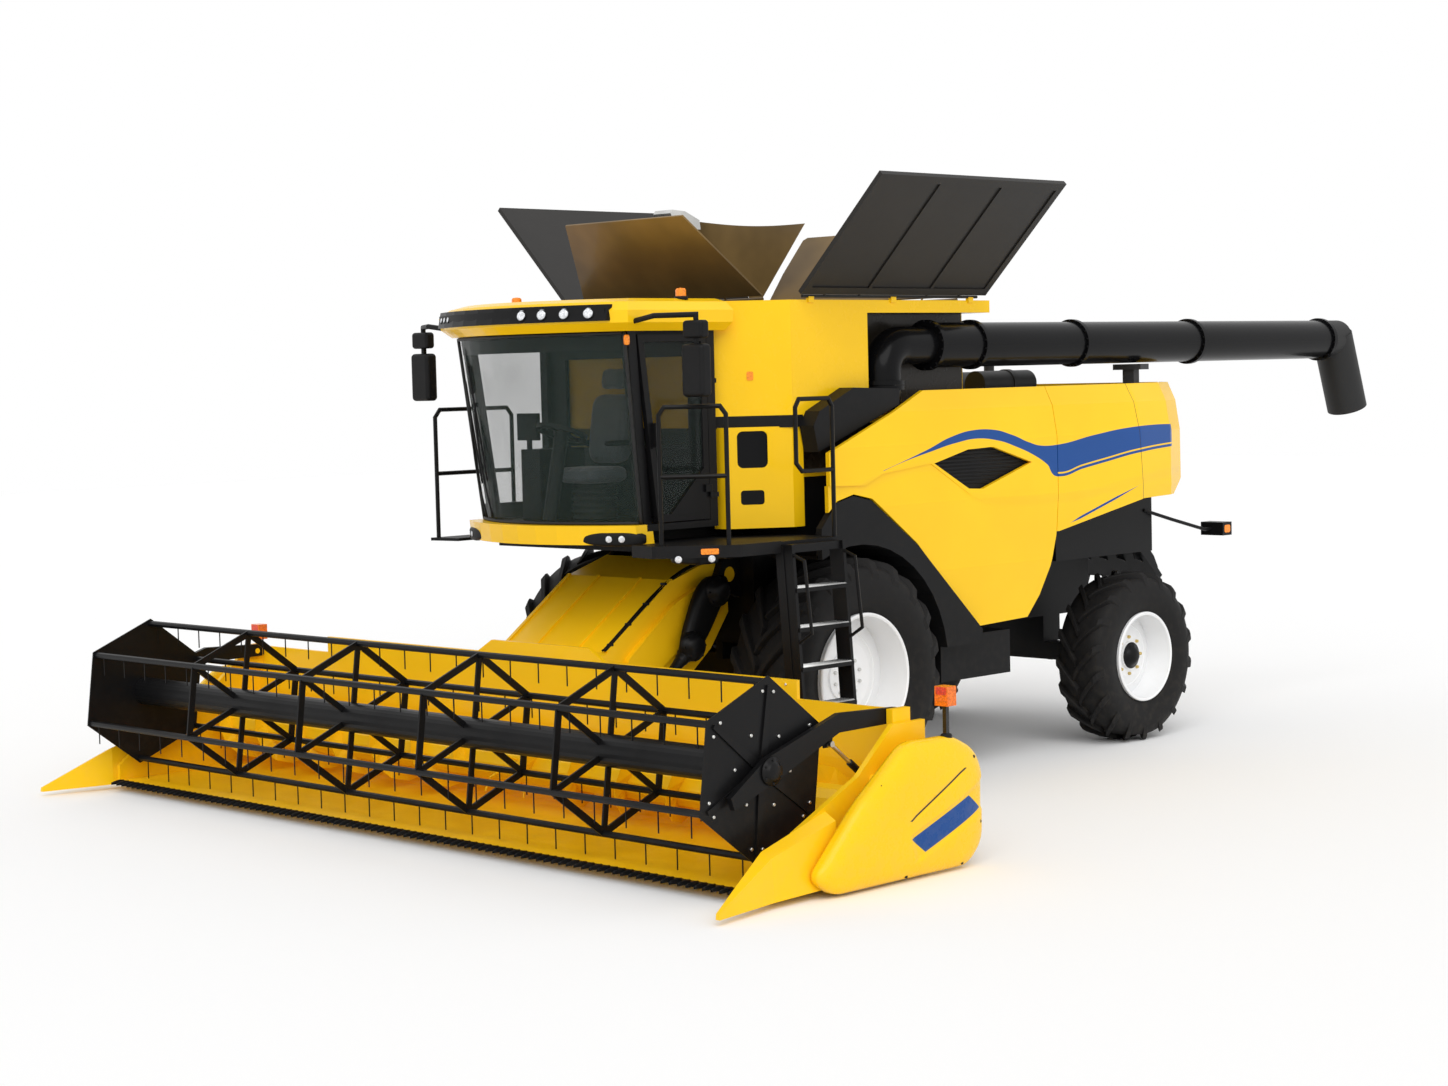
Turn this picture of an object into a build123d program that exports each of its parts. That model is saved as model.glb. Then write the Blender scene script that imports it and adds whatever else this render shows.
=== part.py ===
from build123d import *
from math import atan2, cos, hypot, pi, radians, sin
import os

# Frame: X forward, Y left, Z up, millimetres. The sizes below put x = 0 on the ground under the
# front axle; everything is moved along X by X_SHIFT when it is written, so that the origin is
# under the middle of the whole machine.

# Clearances
SHAFT_GAP = 0.3
SLIP_GAP = 6

# Wheels
WHEELBASE = 3748
FRONT_TYRE_R = 936
FRONT_TYRE_W = 650
FRONT_FACE_Y = 1583
FRONT_RIM_R = 505
FRONT_LUGS = 18
REAR_TYRE_R = 745
REAR_TYRE_W = 480
REAR_FACE_Y = 1507
REAR_RIM_R = 390
REAR_LUGS = 16
RIM_T = 24
LUG_H = 52
WHEEL_SIDES = 36
FRONT_WHEEL_Y = FRONT_FACE_Y - FRONT_TYRE_W / 2
REAR_WHEEL_Y = REAR_FACE_Y - REAR_TYRE_W / 2
FRONT_SPINDLE_R = 60
REAR_SPINDLE_R = 45
KINGPIN_Y = 905
KINGPIN_R = 30
STEER_DEG = 38
STEER_ARM = 250
FORK_GAP = 125
ARM_PLATE = 30
TIE_ROD_R = 20
TIE_ROD_Z = REAR_TYRE_R - FORK_GAP + SLIP_GAP + ARM_PLATE + SLIP_GAP + TIE_ROD_R

# Main body
RAIL_Z0 = 1060
RAIL_Z1 = 1200
RAIL_Y0 = 380
RAIL_Y1 = 460
TRUNK_FRONT_X = 450
TRUNK_HALF = 820
UPPER_HALF = 1180
UPPER_Z0 = 2000
UPPER_Z1 = 2500
REAR_TRUNK_X = -2900
REAR_CLEAR_Z = 1570
TRUNK_REAR_X = -4300

HITCH_R = 16
VANES = 8

# Side skins: outer face of the panels as height and half-width
SIDE_HALF = UPPER_HALF + 375
SIDE_PROFILE = [(1150, SIDE_HALF - 130), (1700, SIDE_HALF - 40), (2250, SIDE_HALF), (2720, SIDE_HALF - 5),
                (2980, SIDE_HALF - 50), (3140, SIDE_HALF - 130)]
PANEL_T = 36
LOW_PANEL_REAR_X = -1600
LOW_PANEL_DEG = 0.6
LOW_PANEL = [(420, 1000), (420, 2440), (-60, 2425), (-260, 2505), (-840, 2560), (-1334, 2279),
             (LOW_PANEL_REAR_X, 2180), (LOW_PANEL_REAR_X, 1000)]
SEAM_X = -2460
PANEL_HINGE_Y = SIDE_HALF - 165
PANEL_PIN_R = 9
WALL_FACE = [(900, 990), (470, UPPER_HALF + 110)]
WALL_POCKET = 40
PANEL_EARS_REAR = [-2380, -1985]
PANEL_EAR_TANK = -960
PANEL_HINGE_Z = 3085
PANEL_OPEN_DEG = 75
TAIL_REAR_X = -4880

# Grain tank
TANK_T = 30
TANK_FRONT_X = 950
TANK_MOUTH_X = 475
TANK_REAR_X = -1910
TANK_HALF = UPPER_HALF + 120
TANK_NOSE_HALF = 860
TANK_Z0 = UPPER_Z1
TANK_Z1 = 3860
BAY_X = -400
BAY_Y = TANK_HALF - 300
BAY_Z0 = 3000
BAY_Z1 = 3760
COVER_T = 26
COVER_FRAME_W = 70
COVER_FRAME_T = 12
COVER_X0 = TANK_REAR_X + 105
COVER_X1 = TANK_MOUTH_X - 75
COVER_HINGE_Y = TANK_HALF
COVER_HINGE_Z = TANK_Z1 + 27
COVER_LEN = 1240
COVER_LEAN_DEG = 45
COVER_FOLD_DEG = 180 - COVER_LEAN_DEG
FLAP_T = 14
FLAP_IN = 20
FLAP_HINGE_Z = TANK_Z1 + 16
FLAP_LEN = 830
FLAP_LEAN_DEG = 39
FLAP_DROP_DEG = 30
FLAP_FOLD_DEG = 90 + FLAP_LEAN_DEG + FLAP_DROP_DEG
FLAP_HALF0 = BAY_Y + 15
FLAP_HALF1 = 670
HINGE_ROD_R = 12
FILL_X = -610
FILL_Y = 300 - TANK_HALF
FILL_Z = 3100
FILL_R = 115
FILL_LEN = 1600
FILL_FOLD_DEG = 75
FILL_EAR = 170

# Unloading tube
UNLOAD_X = -620
UNLOAD_Y = TANK_HALF - 50
UNLOAD_Z = 3500
UNLOAD_R = 182
UNLOAD_NECK_R = 152
UNLOAD_BEND_R = 210
UNLOAD_END_X = -7020
UNLOAD_BASE_Z = 3190
SPIGOT_R = 110
SPIGOT_LEN = 110
UNLOAD_FLANGES = [-1160, -1710, -3070, -4790, -6960]
UNLOAD_SWING_DEG = 100
SPOUT_LEAN_DEG = 20
SPOUT_LEN = 760

# Cab
CAB_Z0 = 2210
CAB_Z1 = 3640
CAB_REAR_X = 960
CAB_HALF = 960
CAB_BASE_Z0 = UPPER_Z0
POST_LOW_X = 1700
POST_TOP_X = 1870
POST_LOW_Y = 880
SCREEN_BULGE = 330
POST = 80
POST_BACK = 62
DOOR_FRONT_BACK = POST_BACK + POST / 2 + 10
DOOR_T = 40
DOOR_FACE_Y = CAB_HALF + 6
DOOR_HINGE_X = 1045
DOOR_HINGE_Y = DOOR_FACE_Y + 16
DOOR_PIN_R = 8
DOOR_HINGES_Z = [2420, 3280]
DOOR_OPEN_DEG = 80
GLASS_T = 8
ROOF_Z1 = 3880
BEACON_R = 46
ROOF_HALF = 1090
ROOF_REAR_X = 870
ROOF_FRONT_X = 1960
ROOF_BULGE = 360

# Platform, ladder and rails
DECK_Z0 = 2045
DECK_HALF = 1720
RAIL_R = 17
RAIL_TOP_Z = 3080
LADDER_X0 = 480
LADDER_X1 = 1060
LADDER_Y = 1680
LADDER_Z0 = 760
LADDER_STEPS = 4

# Feeder house and header
FEEDER_PIVOT_X = 560
FEEDER_PIVOT_Z = 1750
FEEDER_HALF = 600
COVER_BULGE = 50
FEEDER_LIFT_DEG = 20
PIVOT_R = 60
HEADER_BACK_X = 1935
HEADER_TOP_Z = 1200
HEADER_HALF = 3700
WALL_FULL_HALF = HEADER_HALF - 1000
WALL_DROP = 130
WALL_RIB = 45
SKIDS_Y = [1500, HEADER_HALF - 400]
SHEET = 30
KNIFE_X = 3380
KNIFE_Z = 85
KNIFE_PITCH = 76.2
GUARD_LEN = 95
AUGER_X = 2260
AUGER_Z = 430
AUGER_R = 270
AUGER_CORE_R = 150
AUGER_PITCH = 520
AUGER_SIDES = 12
AUGER_HALF = HEADER_HALF - 110
FLIGHT_START = 380
FINGERS = 14
FINGER_R = 8
REEL_X = 3200
REEL_Z = 815
REEL_R = 556
REEL_TURN_DEG = 7.4
REEL_TUBE_R = 112
REEL_SHAFT_R = 32
BAT_R = 24
PLATE_RIB = 14
TINE_LEN = 160
TINE = 7
TINES_A_BAT = 24
ARM_Y = HEADER_HALF - 100
ARM_T = 40
REEL_HALF = ARM_Y - 40
ARM_PIVOT_X = 2050
ARM_PIVOT_Z = 1035
REEL_LIFT_DEG = 18
SHIELD_Y0 = HEADER_HALF + 170
SHIELD_Y1 = SHIELD_Y0 + 130
SHIELD_MIDDLE = (2250, 420)
SHIELD_CORNER_R = 70
DIVIDER_TIP_X = 3980
DIVIDER_TIP_Y = SHIELD_Y0 + 70

# Lift cylinders: A is the barrel's pin and B the rod's eye, both as x and z
LIFT_Y = 330
LIFT_A = (250, 640)
LIFT_B = (1480, 500)
LIFT_R = 55
LIFT_ROD_R = 32
REEL_LIFT_A = (2090, 480)
REEL_LIFT_B = (2640, 920)
REEL_LIFT_R = 24
REEL_LIFT_ROD_R = 14

FRONT_REACH = DIVIDER_TIP_X
SPOUT_R = 190
SPOUT_BACK = 190
REAR_REACH = (SPOUT_BACK - UNLOAD_END_X + SPOUT_LEN * sin(radians(SPOUT_LEAN_DEG))
              + SPOUT_R * cos(radians(SPOUT_LEAN_DEG)))
X_SHIFT = (REAR_REACH - FRONT_REACH) / 2


def box(x0, x1, y0, y1, z0, z1):
    """Block between two corners."""
    return Pos((x0 + x1) / 2, (y0 + y1) / 2, (z0 + z1) / 2) * Box(abs(x1 - x0), abs(y1 - y0), abs(z1 - z0))


def prism(points, along):
    """Flat outline in space, pushed along a vector."""
    vector = Vector(*along)
    face = make_face(Polyline(*points, close=True))
    return extrude(face, amount=vector.length, dir=vector.normalized())


def side_prism(outline, y0, y1):
    """Outline in x and z, from y0 to y1."""
    return prism([(x, y0, z) for x, z in outline], (0, y1 - y0, 0))


def plan_prism(outline, z0, z1):
    """Outline in x and y, from z0 to z1."""
    return prism([(x, y, z0) for x, y in outline], (0, 0, z1 - z0))


def cross_prism(outline, x0, x1):
    """Outline in y and z, from x0 to x1."""
    return prism([(x0, y, z) for y, z in outline], (x1 - x0, 0, 0))


def rod(start, end, radius):
    """Round bar between two points."""
    a = Vector(*start)
    b = Vector(*end)
    plane = Plane(origin=a, z_dir=b - a)
    return plane * Cylinder(radius, (b - a).length, align=(Align.CENTER, Align.CENTER, Align.MIN))


def rail(points, radius=RAIL_R):
    """Eight-sided rail along a bent path with mitred corners."""
    path = Polyline(*points)
    plane = Plane(origin=path @ 0, z_dir=path % 0)
    return sweep(plane * RegularPolygon(radius, 8), path=path, transition=Transition.RIGHT)


def sided(sections, sides):
    """Many-sided drum about the Y axis through given (y, radius) sections."""
    faces = []
    for y, radius in sections:
        faces.append(Plane(origin=(0, y, 0), x_dir=(1, 0, 0), z_dir=(0, 1, 0)) * RegularPolygon(radius,
                                                                                                sides))
    return loft(faces, ruled=True)


def flip(shape):
    """The same piece on the other side of the machine."""
    return mirror(shape, about=Plane.XZ)


def pair(shape):
    """A piece and its mirror image."""
    return [shape, flip(shape)]


def group(*items):
    """One node made of all the solids in the given shapes."""
    solids = []
    for item in items:
        shapes = item if isinstance(item, list) else [item]
        for shape in shapes:
            solids.extend(shape.solids())
    return solids[0] if len(solids) == 1 else Compound(solids)


def fuse(*items):
    """All the given shapes as one solid."""
    shapes = []
    for item in items:
        shapes.extend(item if isinstance(item, list) else [item])
    result = shapes[0]
    return result + shapes[1:] if len(shapes) > 1 else result


def lean(length, degrees_up):
    """Along and up parts of a length at an angle."""
    return length * cos(radians(degrees_up)), length * sin(radians(degrees_up))


def side_y(z):
    """Half-width of the side skin at a height."""
    for (z0, y0), (z1, y1) in zip(SIDE_PROFILE, SIDE_PROFILE[1:]):
        if z0 <= z <= z1:
            return y0 + (y1 - y0) * (z - z0) / (z1 - z0)
    return SIDE_PROFILE[0][1] if z < SIDE_PROFILE[0][0] else SIDE_PROFILE[-1][1]


# Wheels


def tyre(radius, width, rim_r, lugs):
    """Carcass with two rows of slanted lugs, about the Y axis at the origin."""
    base = radius - LUG_H
    half = width / 2
    drum = sided([(-half, base * 0.82), (-half * 0.86, base - 14), (-half * 0.4, base), (half * 0.4, base),
                  (half * 0.86, base - 14), (half, base * 0.82)], WHEEL_SIDES)
    drum -= Rot(90, 0, 0) * Cylinder(rim_r, width + 2)
    lug_len = half * 1.28
    lug_w = 2 * pi * radius / lugs * 0.24
    lug = Pos(0, half * 0.5, radius - LUG_H * 0.5 - 8) * Rot(0, 0, 38) * Box(lug_w, lug_len, LUG_H + 16)
    lug &= box(-radius, radius, -20, half * 0.985, 0, radius + 50)
    rows = []
    for k in range(lugs):
        turn = 360 * k / lugs
        rows.append(Rot(0, turn, 0) * lug)
        rows.append(Rot(0, turn + 180 / lugs, 0) * flip(lug))
    lug_top = sided([(-half - 1, radius), (half + 1, radius)], WHEEL_SIDES)
    return (drum + rows) & lug_top


def rim(rim_r, width, disc_y, hub_r, spindle_r, hub_len):
    """Barrel, dished disc and hub with a spindle bore, about the Y axis at the origin."""
    half = width / 2 - 14
    inner = rim_r - RIM_T
    bore = spindle_r + SHAFT_GAP
    middle = disc_y + 20
    outside = [(bore, middle + hub_len / 2), (hub_r, middle + hub_len / 2), (hub_r, disc_y + 61),
               (hub_r * 1.5, disc_y + 60), (inner, disc_y), (inner, half), (rim_r, half)]
    inside = [(rim_r, -half), (inner, -half), (inner, disc_y - 25), (hub_r * 1.5, disc_y + 35),
              (hub_r, disc_y + 36), (hub_r, middle - hub_len / 2), (bore, middle - hub_len / 2)]
    return revolve(make_face(Polyline(*outside, *inside, close=True)), axis=Axis.Y)


def front_place(shape):
    """Moves a wheel piece to the left front axle end."""
    return Pos(0, FRONT_WHEEL_Y, FRONT_TYRE_R) * shape


def rear_place(shape):
    """Moves a wheel piece to the left rear spindle."""
    return Pos(-WHEELBASE, REAR_WHEEL_Y, REAR_TYRE_R) * shape


def front_tyre_left():
    """Large drive tyre."""
    return front_place(tyre(FRONT_TYRE_R, FRONT_TYRE_W, FRONT_RIM_R, FRONT_LUGS))


def front_tyre_right():
    """Mirror image of the left front tyre."""
    return flip(front_tyre_left())


def front_rim_left():
    """Deep-dished drive rim."""
    return front_place(rim(FRONT_RIM_R, FRONT_TYRE_W, 30, 190, FRONT_SPINDLE_R, 120))


def front_rim_right():
    """Mirror image of the left front rim."""
    return flip(front_rim_left())


def rear_tyre_left():
    """Smaller steered tyre."""
    return rear_place(tyre(REAR_TYRE_R, REAR_TYRE_W, REAR_RIM_R, REAR_LUGS))


def rear_tyre_right():
    """Mirror image of the left rear tyre."""
    return flip(rear_tyre_left())


def rear_rim_left():
    """Rim of the steered wheel."""
    return rear_place(rim(REAR_RIM_R, REAR_TYRE_W, -20, 120, REAR_SPINDLE_R, 140))


def rear_rim_right():
    """Mirror image of the left rear rim."""
    return flip(rear_rim_left())


# Axles and steering


def front_axle():
    """Drive axle beam with final drives and the two wheel spindles."""
    beam = box(-110, 110, -700, 700, FRONT_TYRE_R - 110, RAIL_Z0)
    ends = []
    for side in (1, -1):
        ends.append(rod((0, side * 640, FRONT_TYRE_R), (0, side * 880, FRONT_TYRE_R), 200))
        ends.append(rod((0, side * 880, FRONT_TYRE_R), (0, side * 1180, FRONT_TYRE_R), 150))
        ends.append(rod((0, side * 1180, FRONT_TYRE_R), (0, side * (FRONT_WHEEL_Y + 150), FRONT_TYRE_R),
                        FRONT_SPINDLE_R))
    ears = []
    ax, az = LIFT_A
    for side in (1, -1):
        for shift in (1, -1):
            y = side * LIFT_Y + shift * (LIFT_R + 6 + 12)
            ears.append(side_prism([(-60, 830), (100, 830), (ax + 40, az + 40), (ax + 40, az - 40),
                                    (ax - 40, az - 40),
                                    (-60, 700)], y - 12, y + 12))
        ears.append(rod((ax, side * LIFT_Y - 85, az), (ax, side * LIFT_Y + 85, az), 20))
    return fuse(beam, ends, ears)


def rear_axle():
    """Steering axle beam with forked ends, hung under the rails."""
    x = -WHEELBASE
    z = REAR_TYRE_R
    beam = box(x - 75, x + 75, -790, 790, z - 80, z + 80)
    saddle = box(x - 120, x + 120, -RAIL_Y1, RAIL_Y1, z + 80, RAIL_Z0)
    forks = []
    for side in (1, -1):
        for z0, z1 in ((z - 175, z - FORK_GAP), (z + FORK_GAP, z + 175)):
            forks.append(box(x - 70, x + 70, side * 720, side * 965, z0, z1))
        forks.append(box(x - 70, x + 70, side * 720, side * 790, z - 175, z + 175))
    bores = [rod((x, side * KINGPIN_Y, z - 300), (x, side * KINGPIN_Y, z + 300), KINGPIN_R + SHAFT_GAP)
             for side in (1, -1)]
    rod_x = x - STEER_ARM
    guides = [box(rod_x - 40, x - 70, side * 380 - 25, side * 380 + 25, TIE_ROD_Z - 40, TIE_ROD_Z + 40)
              for side in (1, -1)]
    bores.append(rod((rod_x, -500, TIE_ROD_Z), (rod_x, 500, TIE_ROD_Z), TIE_ROD_R + SHAFT_GAP))
    return fuse(beam, saddle, forks, guides) - bores


def knuckle_left():
    """Steering knuckle with kingpin, spindle and steering arm."""
    x = -WHEELBASE
    z = REAR_TYRE_R
    gap = FORK_GAP - SLIP_GAP
    block = box(x - 60, x + 60, KINGPIN_Y - 50, KINGPIN_Y + 60, z - gap, z + gap)
    pin = rod((x, KINGPIN_Y, z - 172), (x, KINGPIN_Y, z + 172), KINGPIN_R)
    spindle = rod((x, KINGPIN_Y + 50, z), (x, REAR_WHEEL_Y + 110, z), REAR_SPINDLE_R)
    arm = box(x - STEER_ARM - 40, x - 40, KINGPIN_Y - 35, KINGPIN_Y + 35, z - gap, z - gap + ARM_PLATE)
    return fuse(block, pin, spindle, arm)


def knuckle_right():
    """Mirror image of the left knuckle."""
    return flip(knuckle_left())


def tie_rod():
    """Bar that joins the two steering arms, just above them."""
    x = -WHEELBASE - STEER_ARM
    bar = rod((x, -KINGPIN_Y, TIE_ROD_Z), (x, KINGPIN_Y, TIE_ROD_Z), TIE_ROD_R)
    eyes = [rod((x, side * KINGPIN_Y, TIE_ROD_Z - 20), (x, side * KINGPIN_Y, TIE_ROD_Z + 24), 34)
            for side in (1, -1)]
    return fuse(bar, eyes)


# Main body


def main_frame():
    """Two long rails with cross members and the rear drawbar clevis."""
    rails = [box(TRUNK_REAR_X, TRUNK_FRONT_X, side * RAIL_Y0, side * RAIL_Y1, RAIL_Z0, RAIL_Z1)
             for side in (1, -1)]
    cross = [box(x, x + 100, -RAIL_Y0, RAIL_Y0, RAIL_Z0, RAIL_Z1) for x in (-3500, -400, TRUNK_REAR_X)]
    hitch = box(TRUNK_REAR_X - 130, TRUNK_REAR_X, -90, 90, RAIL_Z0, RAIL_Z1)
    jaw = box(TRUNK_REAR_X - 140, TRUNK_REAR_X - 50, -91, 91, RAIL_Z0 + 35, RAIL_Z1 - 35)
    hole = rod((TRUNK_REAR_X - 80, 0, RAIL_Z0 - 10), (TRUNK_REAR_X - 80, 0, RAIL_Z1 + 10), HITCH_R)
    return fuse(rails, cross, hitch) - jaw - hole


def threshing_body():
    """Closed separator body between the side panels, with the feeder's pivot plates."""
    belly = box(-3000, -620, -360, 360, 720, RAIL_Z1)
    trunk = box(REAR_TRUNK_X, TRUNK_FRONT_X, -TRUNK_HALF, TRUNK_HALF, RAIL_Z1, UPPER_Z0)
    upper = box(REAR_TRUNK_X, 330, -UPPER_HALF, UPPER_HALF, UPPER_Z0, UPPER_Z1)
    rear = box(TRUNK_REAR_X, REAR_TRUNK_X, -UPPER_HALF, UPPER_HALF, REAR_CLEAR_Z + 60, UPPER_Z1)
    keel = box(TRUNK_REAR_X, REAR_TRUNK_X, -RAIL_Y1, RAIL_Y1, RAIL_Z1, REAR_CLEAR_Z + 60)
    plates = []
    for side in (1, -1):
        plate = side_prism([(TRUNK_FRONT_X, 1560), (640, 1640), (690, 1750), (640, 1860),
                            (TRUNK_FRONT_X, 1960)],
                           side * (FEEDER_HALF + SLIP_GAP), side * (FEEDER_HALF + 70))
        plates.append(plate)
    bore = rod((FEEDER_PIVOT_X, -800, FEEDER_PIVOT_Z), (FEEDER_PIVOT_X, 800, FEEDER_PIVOT_Z),
               PIVOT_R + SHAFT_GAP)
    return fuse(belly, trunk, upper, rear, keel, plates) - bore


def engine_block():
    """Engine and cooling pack as one plain block behind the tank."""
    block = box(-3400, -2150, -620, 700, UPPER_Z1, 2960)
    cooler = box(-3150, -2250, -1060, -620, UPPER_Z1, 3010)
    pipe = rod((-2350, 520, 2960), (-2350, 520, 3330), 70)
    return fuse(block, cooler, pipe)


def tail_plan(inset, front):
    """Half outline of the tail in plan, as x and y, front to rear."""
    w = SIDE_HALF - inset
    return [(front, w), (-3650, w), (-4150, w - 50), (-4480, w - 180), (-4700, w - 400),
            (TAIL_REAR_X + 60 + inset, w - 750), (TAIL_REAR_X + inset, w - 1150)]


def tail_shell(inset, front):
    """Solid tail volume, narrower at the top and bottom as the side skin is."""
    faces = []
    for z, y in [(1850, side_y(1850))] + [p for p in SIDE_PROFILE if p[0] > 1850]:
        half = tail_plan(inset + SIDE_HALF - y, front)
        outline = half + [(x, -y2) for x, y2 in reversed(half)]
        faces.append(make_face(Polyline(*[(x, y2, z) for x, y2 in outline], close=True)))
    return loft(faces, ruled=True)


def tail_hood():
    """Yellow rear skin: both sides and the rounded rear, open below and above."""
    shell = tail_shell(0, SEAM_X - 8) - tail_shell(PANEL_T, SEAM_X + 40)
    cut = side_prism([(SEAM_X + 60, 1800), (SEAM_X + 60, 1925), (SEAM_X - 40, 1925), (-3690, 2140),
                      (-4250, 2150),
                      (-4560, 2330), (-5000, 2380), (-5000, 1800)], -1700, 1700)
    brackets = [box(x, x + 60, side * UPPER_HALF, side * (side_y(2400) - PANEL_T + 1), 2380, 2420)
                for x in (-2700, -3700) for side in (1, -1)]
    return fuse(shell - cut, brackets)


def engine_deck():
    """Black deck with air slots over the engine and the saddle for the folded tube."""
    deck = box(-4240, TANK_REAR_X, 225 - SIDE_HALF, SIDE_HALF - 225, 3030, 3062)
    slots = [box(-4150 + 110 * k, -4090 + 110 * k, -900, 900, 3000, 3100) for k in range(6)]
    hole = box(-2440, -2260, 430, 610, 3000, 3100)
    legs = [box(x, x + 60, side * (UPPER_HALF - 90), side * (UPPER_HALF - 30), UPPER_Z1, 3030)
            for x in (-4230, -2050)
            for side in (1, -1)]
    post = box(-3960, -3880, UNLOAD_Y - 60, UNLOAD_Y + 60, 3040, UNLOAD_Z - UNLOAD_R - 30)
    saddle = box(-3980, -3860, UNLOAD_Y - 150, UNLOAD_Y + 150, UNLOAD_Z - UNLOAD_R - 60,
                 UNLOAD_Z - UNLOAD_R - 10)
    ears = []
    for x in PANEL_EARS_REAR:
        ears.extend(pair(panel_ear(x, SIDE_HALF - 235)))
    cleaner = rod((-2950, 850, 3168), (-2250, 850, 3168), 112)
    collar = rod((-2700, 850, 3168), (-2640, 850, 3168), 122)
    silencer = rod((-3420, 150, 3164), (-2620, 150, 3164), 108)
    stack = rod((-3300, 150, 3164), (-3300, 150, 3520), 46)
    return fuse(deck - slots - hole, legs, post, saddle, ears, cleaner, collar, silencer, stack)


def panel_outline(grow):
    """Side panel outline in x and z; grow moves the fender edge outwards."""
    return [(345, 2230 + grow), (345, 2690), (190, 2745), (-905, 3140), (SEAM_X, 3140), (SEAM_X, 1900),
            (-2405, 1640),
            (-2300, 1400), (-2170, 1225), (-1482, 1195 + grow), (-690, 1930 + grow), (-150, 2312 + grow),
            (60, 2357 + grow), (250, 2312 + grow)]


def side_panel_left():
    """Big yellow service door with its vent opening, hung from its top edge."""
    outer = [(y, z) for z, y in SIDE_PROFILE]
    inner = [(y - PANEL_T, z) for z, y in reversed(SIDE_PROFILE)]
    strip = cross_prism(outer + inner, 400, SEAM_X - 10)
    y0, y1 = SIDE_HALF - 355, SIDE_HALF + 145
    low = side_prism(LOW_PANEL, y0, y1)
    swing = Pos(LOW_PANEL_REAR_X, UPPER_HALF, 0) * Rot(0, 0, -LOW_PANEL_DEG) * Pos(-LOW_PANEL_REAR_X,
                                                                                   -UPPER_HALF, 0)
    panel = fuse(strip - low, (swing * strip) & low) & side_prism(panel_outline(SLIP_GAP), y0, y1)
    vent = side_prism([(-880, 2560), (-1300, 2655), (-1620, 2665), (-2120, 2520), (-1480, 2330),
                       (-1300, 2340)], SIDE_HALF - 155, y1)
    pins = []
    for x in PANEL_EARS_REAR + [PANEL_EAR_TANK]:
        pins.append(rod((x - 45, PANEL_HINGE_Y, PANEL_HINGE_Z), (x + 45, PANEL_HINGE_Y, PANEL_HINGE_Z),
                        PANEL_PIN_R))
        for shift in (-37, 37):
            pins.append(box(x + shift - 7, x + shift + 7, PANEL_HINGE_Y, side_y(PANEL_HINGE_Z) - PANEL_T + 6,
                            PANEL_HINGE_Z - 7, PANEL_HINGE_Z + 7))
    return fuse(panel - vent, pins)


def panel_ear(x, root_y):
    """Bracket with a bore for a side panel's hinge pin."""
    arm = box(x - 20, x + 20, root_y, PANEL_HINGE_Y - 10, PANEL_HINGE_Z - 45, PANEL_HINGE_Z - 13)
    head = box(x - 20, x + 20, PANEL_HINGE_Y - 14, PANEL_HINGE_Y + 14, PANEL_HINGE_Z - 30,
               PANEL_HINGE_Z + 13)
    bore = rod((x - 30, PANEL_HINGE_Y, PANEL_HINGE_Z), (x + 30, PANEL_HINGE_Y, PANEL_HINGE_Z),
               PANEL_PIN_R + SHAFT_GAP)
    return fuse(arm, head) - bore


def side_panel_right():
    """Mirror image of the left panel."""
    return flip(side_panel_left())


def vent_screen():
    """Dark screen behind the left vent opening, on a post from the body."""
    y = side_y(2500) - PANEL_T
    screen = side_prism([(-800, 2580), (-1300, 2700), (-1650, 2705), (-2200, 2520), (-1450, 2280),
                         (-1250, 2290)],
                        y - 40, y - SLIP_GAP - 10)
    return fuse(screen, box(-1600, -1400, UPPER_HALF, y - 40, 2380, 2440))


def arch(radius, start, end, steps):
    """Points on an arc about the front wheel's centre, in x and z."""
    points = []
    for k in range(steps + 1):
        a = radians(start + (end - start) * k / steps)
        points.append((radius * cos(a), FRONT_TYRE_R + radius * sin(a)))
    return points


def fender():
    """Black skin and liner over the left front wheel."""
    outline = [(430, 2030), (420, 2120), (250, 2304), (60, 2349), (-150, 2304), (-690, 1922), (-1474, 1187),
               (-1440, 1090), (-1180, 1080)]
    skin = side_prism(outline + arch(1035, 172, 66, 12), SIDE_HALF - 85, SIDE_HALF - 25)
    liner = side_prism(arch(1065, 66, 172, 12) + arch(1035, 172, 66, 12), UPPER_HALF - 180, SIDE_HALF - 75)
    web = box(-120, 120, UPPER_HALF, SIDE_HALF - 75, 2020, 2060)
    return fuse(skin, liner, web)


def shoulder():
    """Black fairing between the tank wall and the top of the left side panel."""
    front = [(352, 2698), (400, 2900), (330, 3010), (-60, 3180), (-400, 3168), (-400, 2968), (190, 2755)]
    rear = [(-380, 2961), (-380, 3169), (-590, 3161), (-590, 3037)]
    return fuse(side_prism(front, TANK_HALF, SIDE_HALF - 105),
                side_prism(rear, SIDE_HALF - 117, SIDE_HALF - 105))


def dark_side_skins():
    """Fenders, shoulder fairings and vent screens of both sides."""
    return group(pair(fender()), pair(shoulder()), pair(vent_screen()))


def front_wall_panels():
    """Yellow lower walls behind the cab, on both sides."""
    wall = plan_prism([(900, 860)] + WALL_FACE + [(352, WALL_FACE[1][1]), (352, 860)], 2130, 2900)
    window = wall_pocket(94, 330, 2590, 2870, 45)
    slot = wall_pocket(115, 298, 2310, 2420, 25)
    return group(pair(wall - window - slot))


def wall_pocket(start, end, z0, z1, corner):
    """Rounded pocket in a lower wall's slanted face, from one distance along it to another."""
    (x0, y0), (x1, y1) = WALL_FACE
    way = Vector(x1 - x0, y1 - y0, 0).normalized()
    middle = Vector(x0, y0, (z0 + z1) / 2) + way * ((start + end) / 2)
    face = Plane(origin=middle, x_dir=way, z_dir=(way.Y, -way.X, 0))
    return extrude(face * RectangleRounded(end - start, z1 - z0, corner), -WALL_POCKET)


# Grain tank


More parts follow.
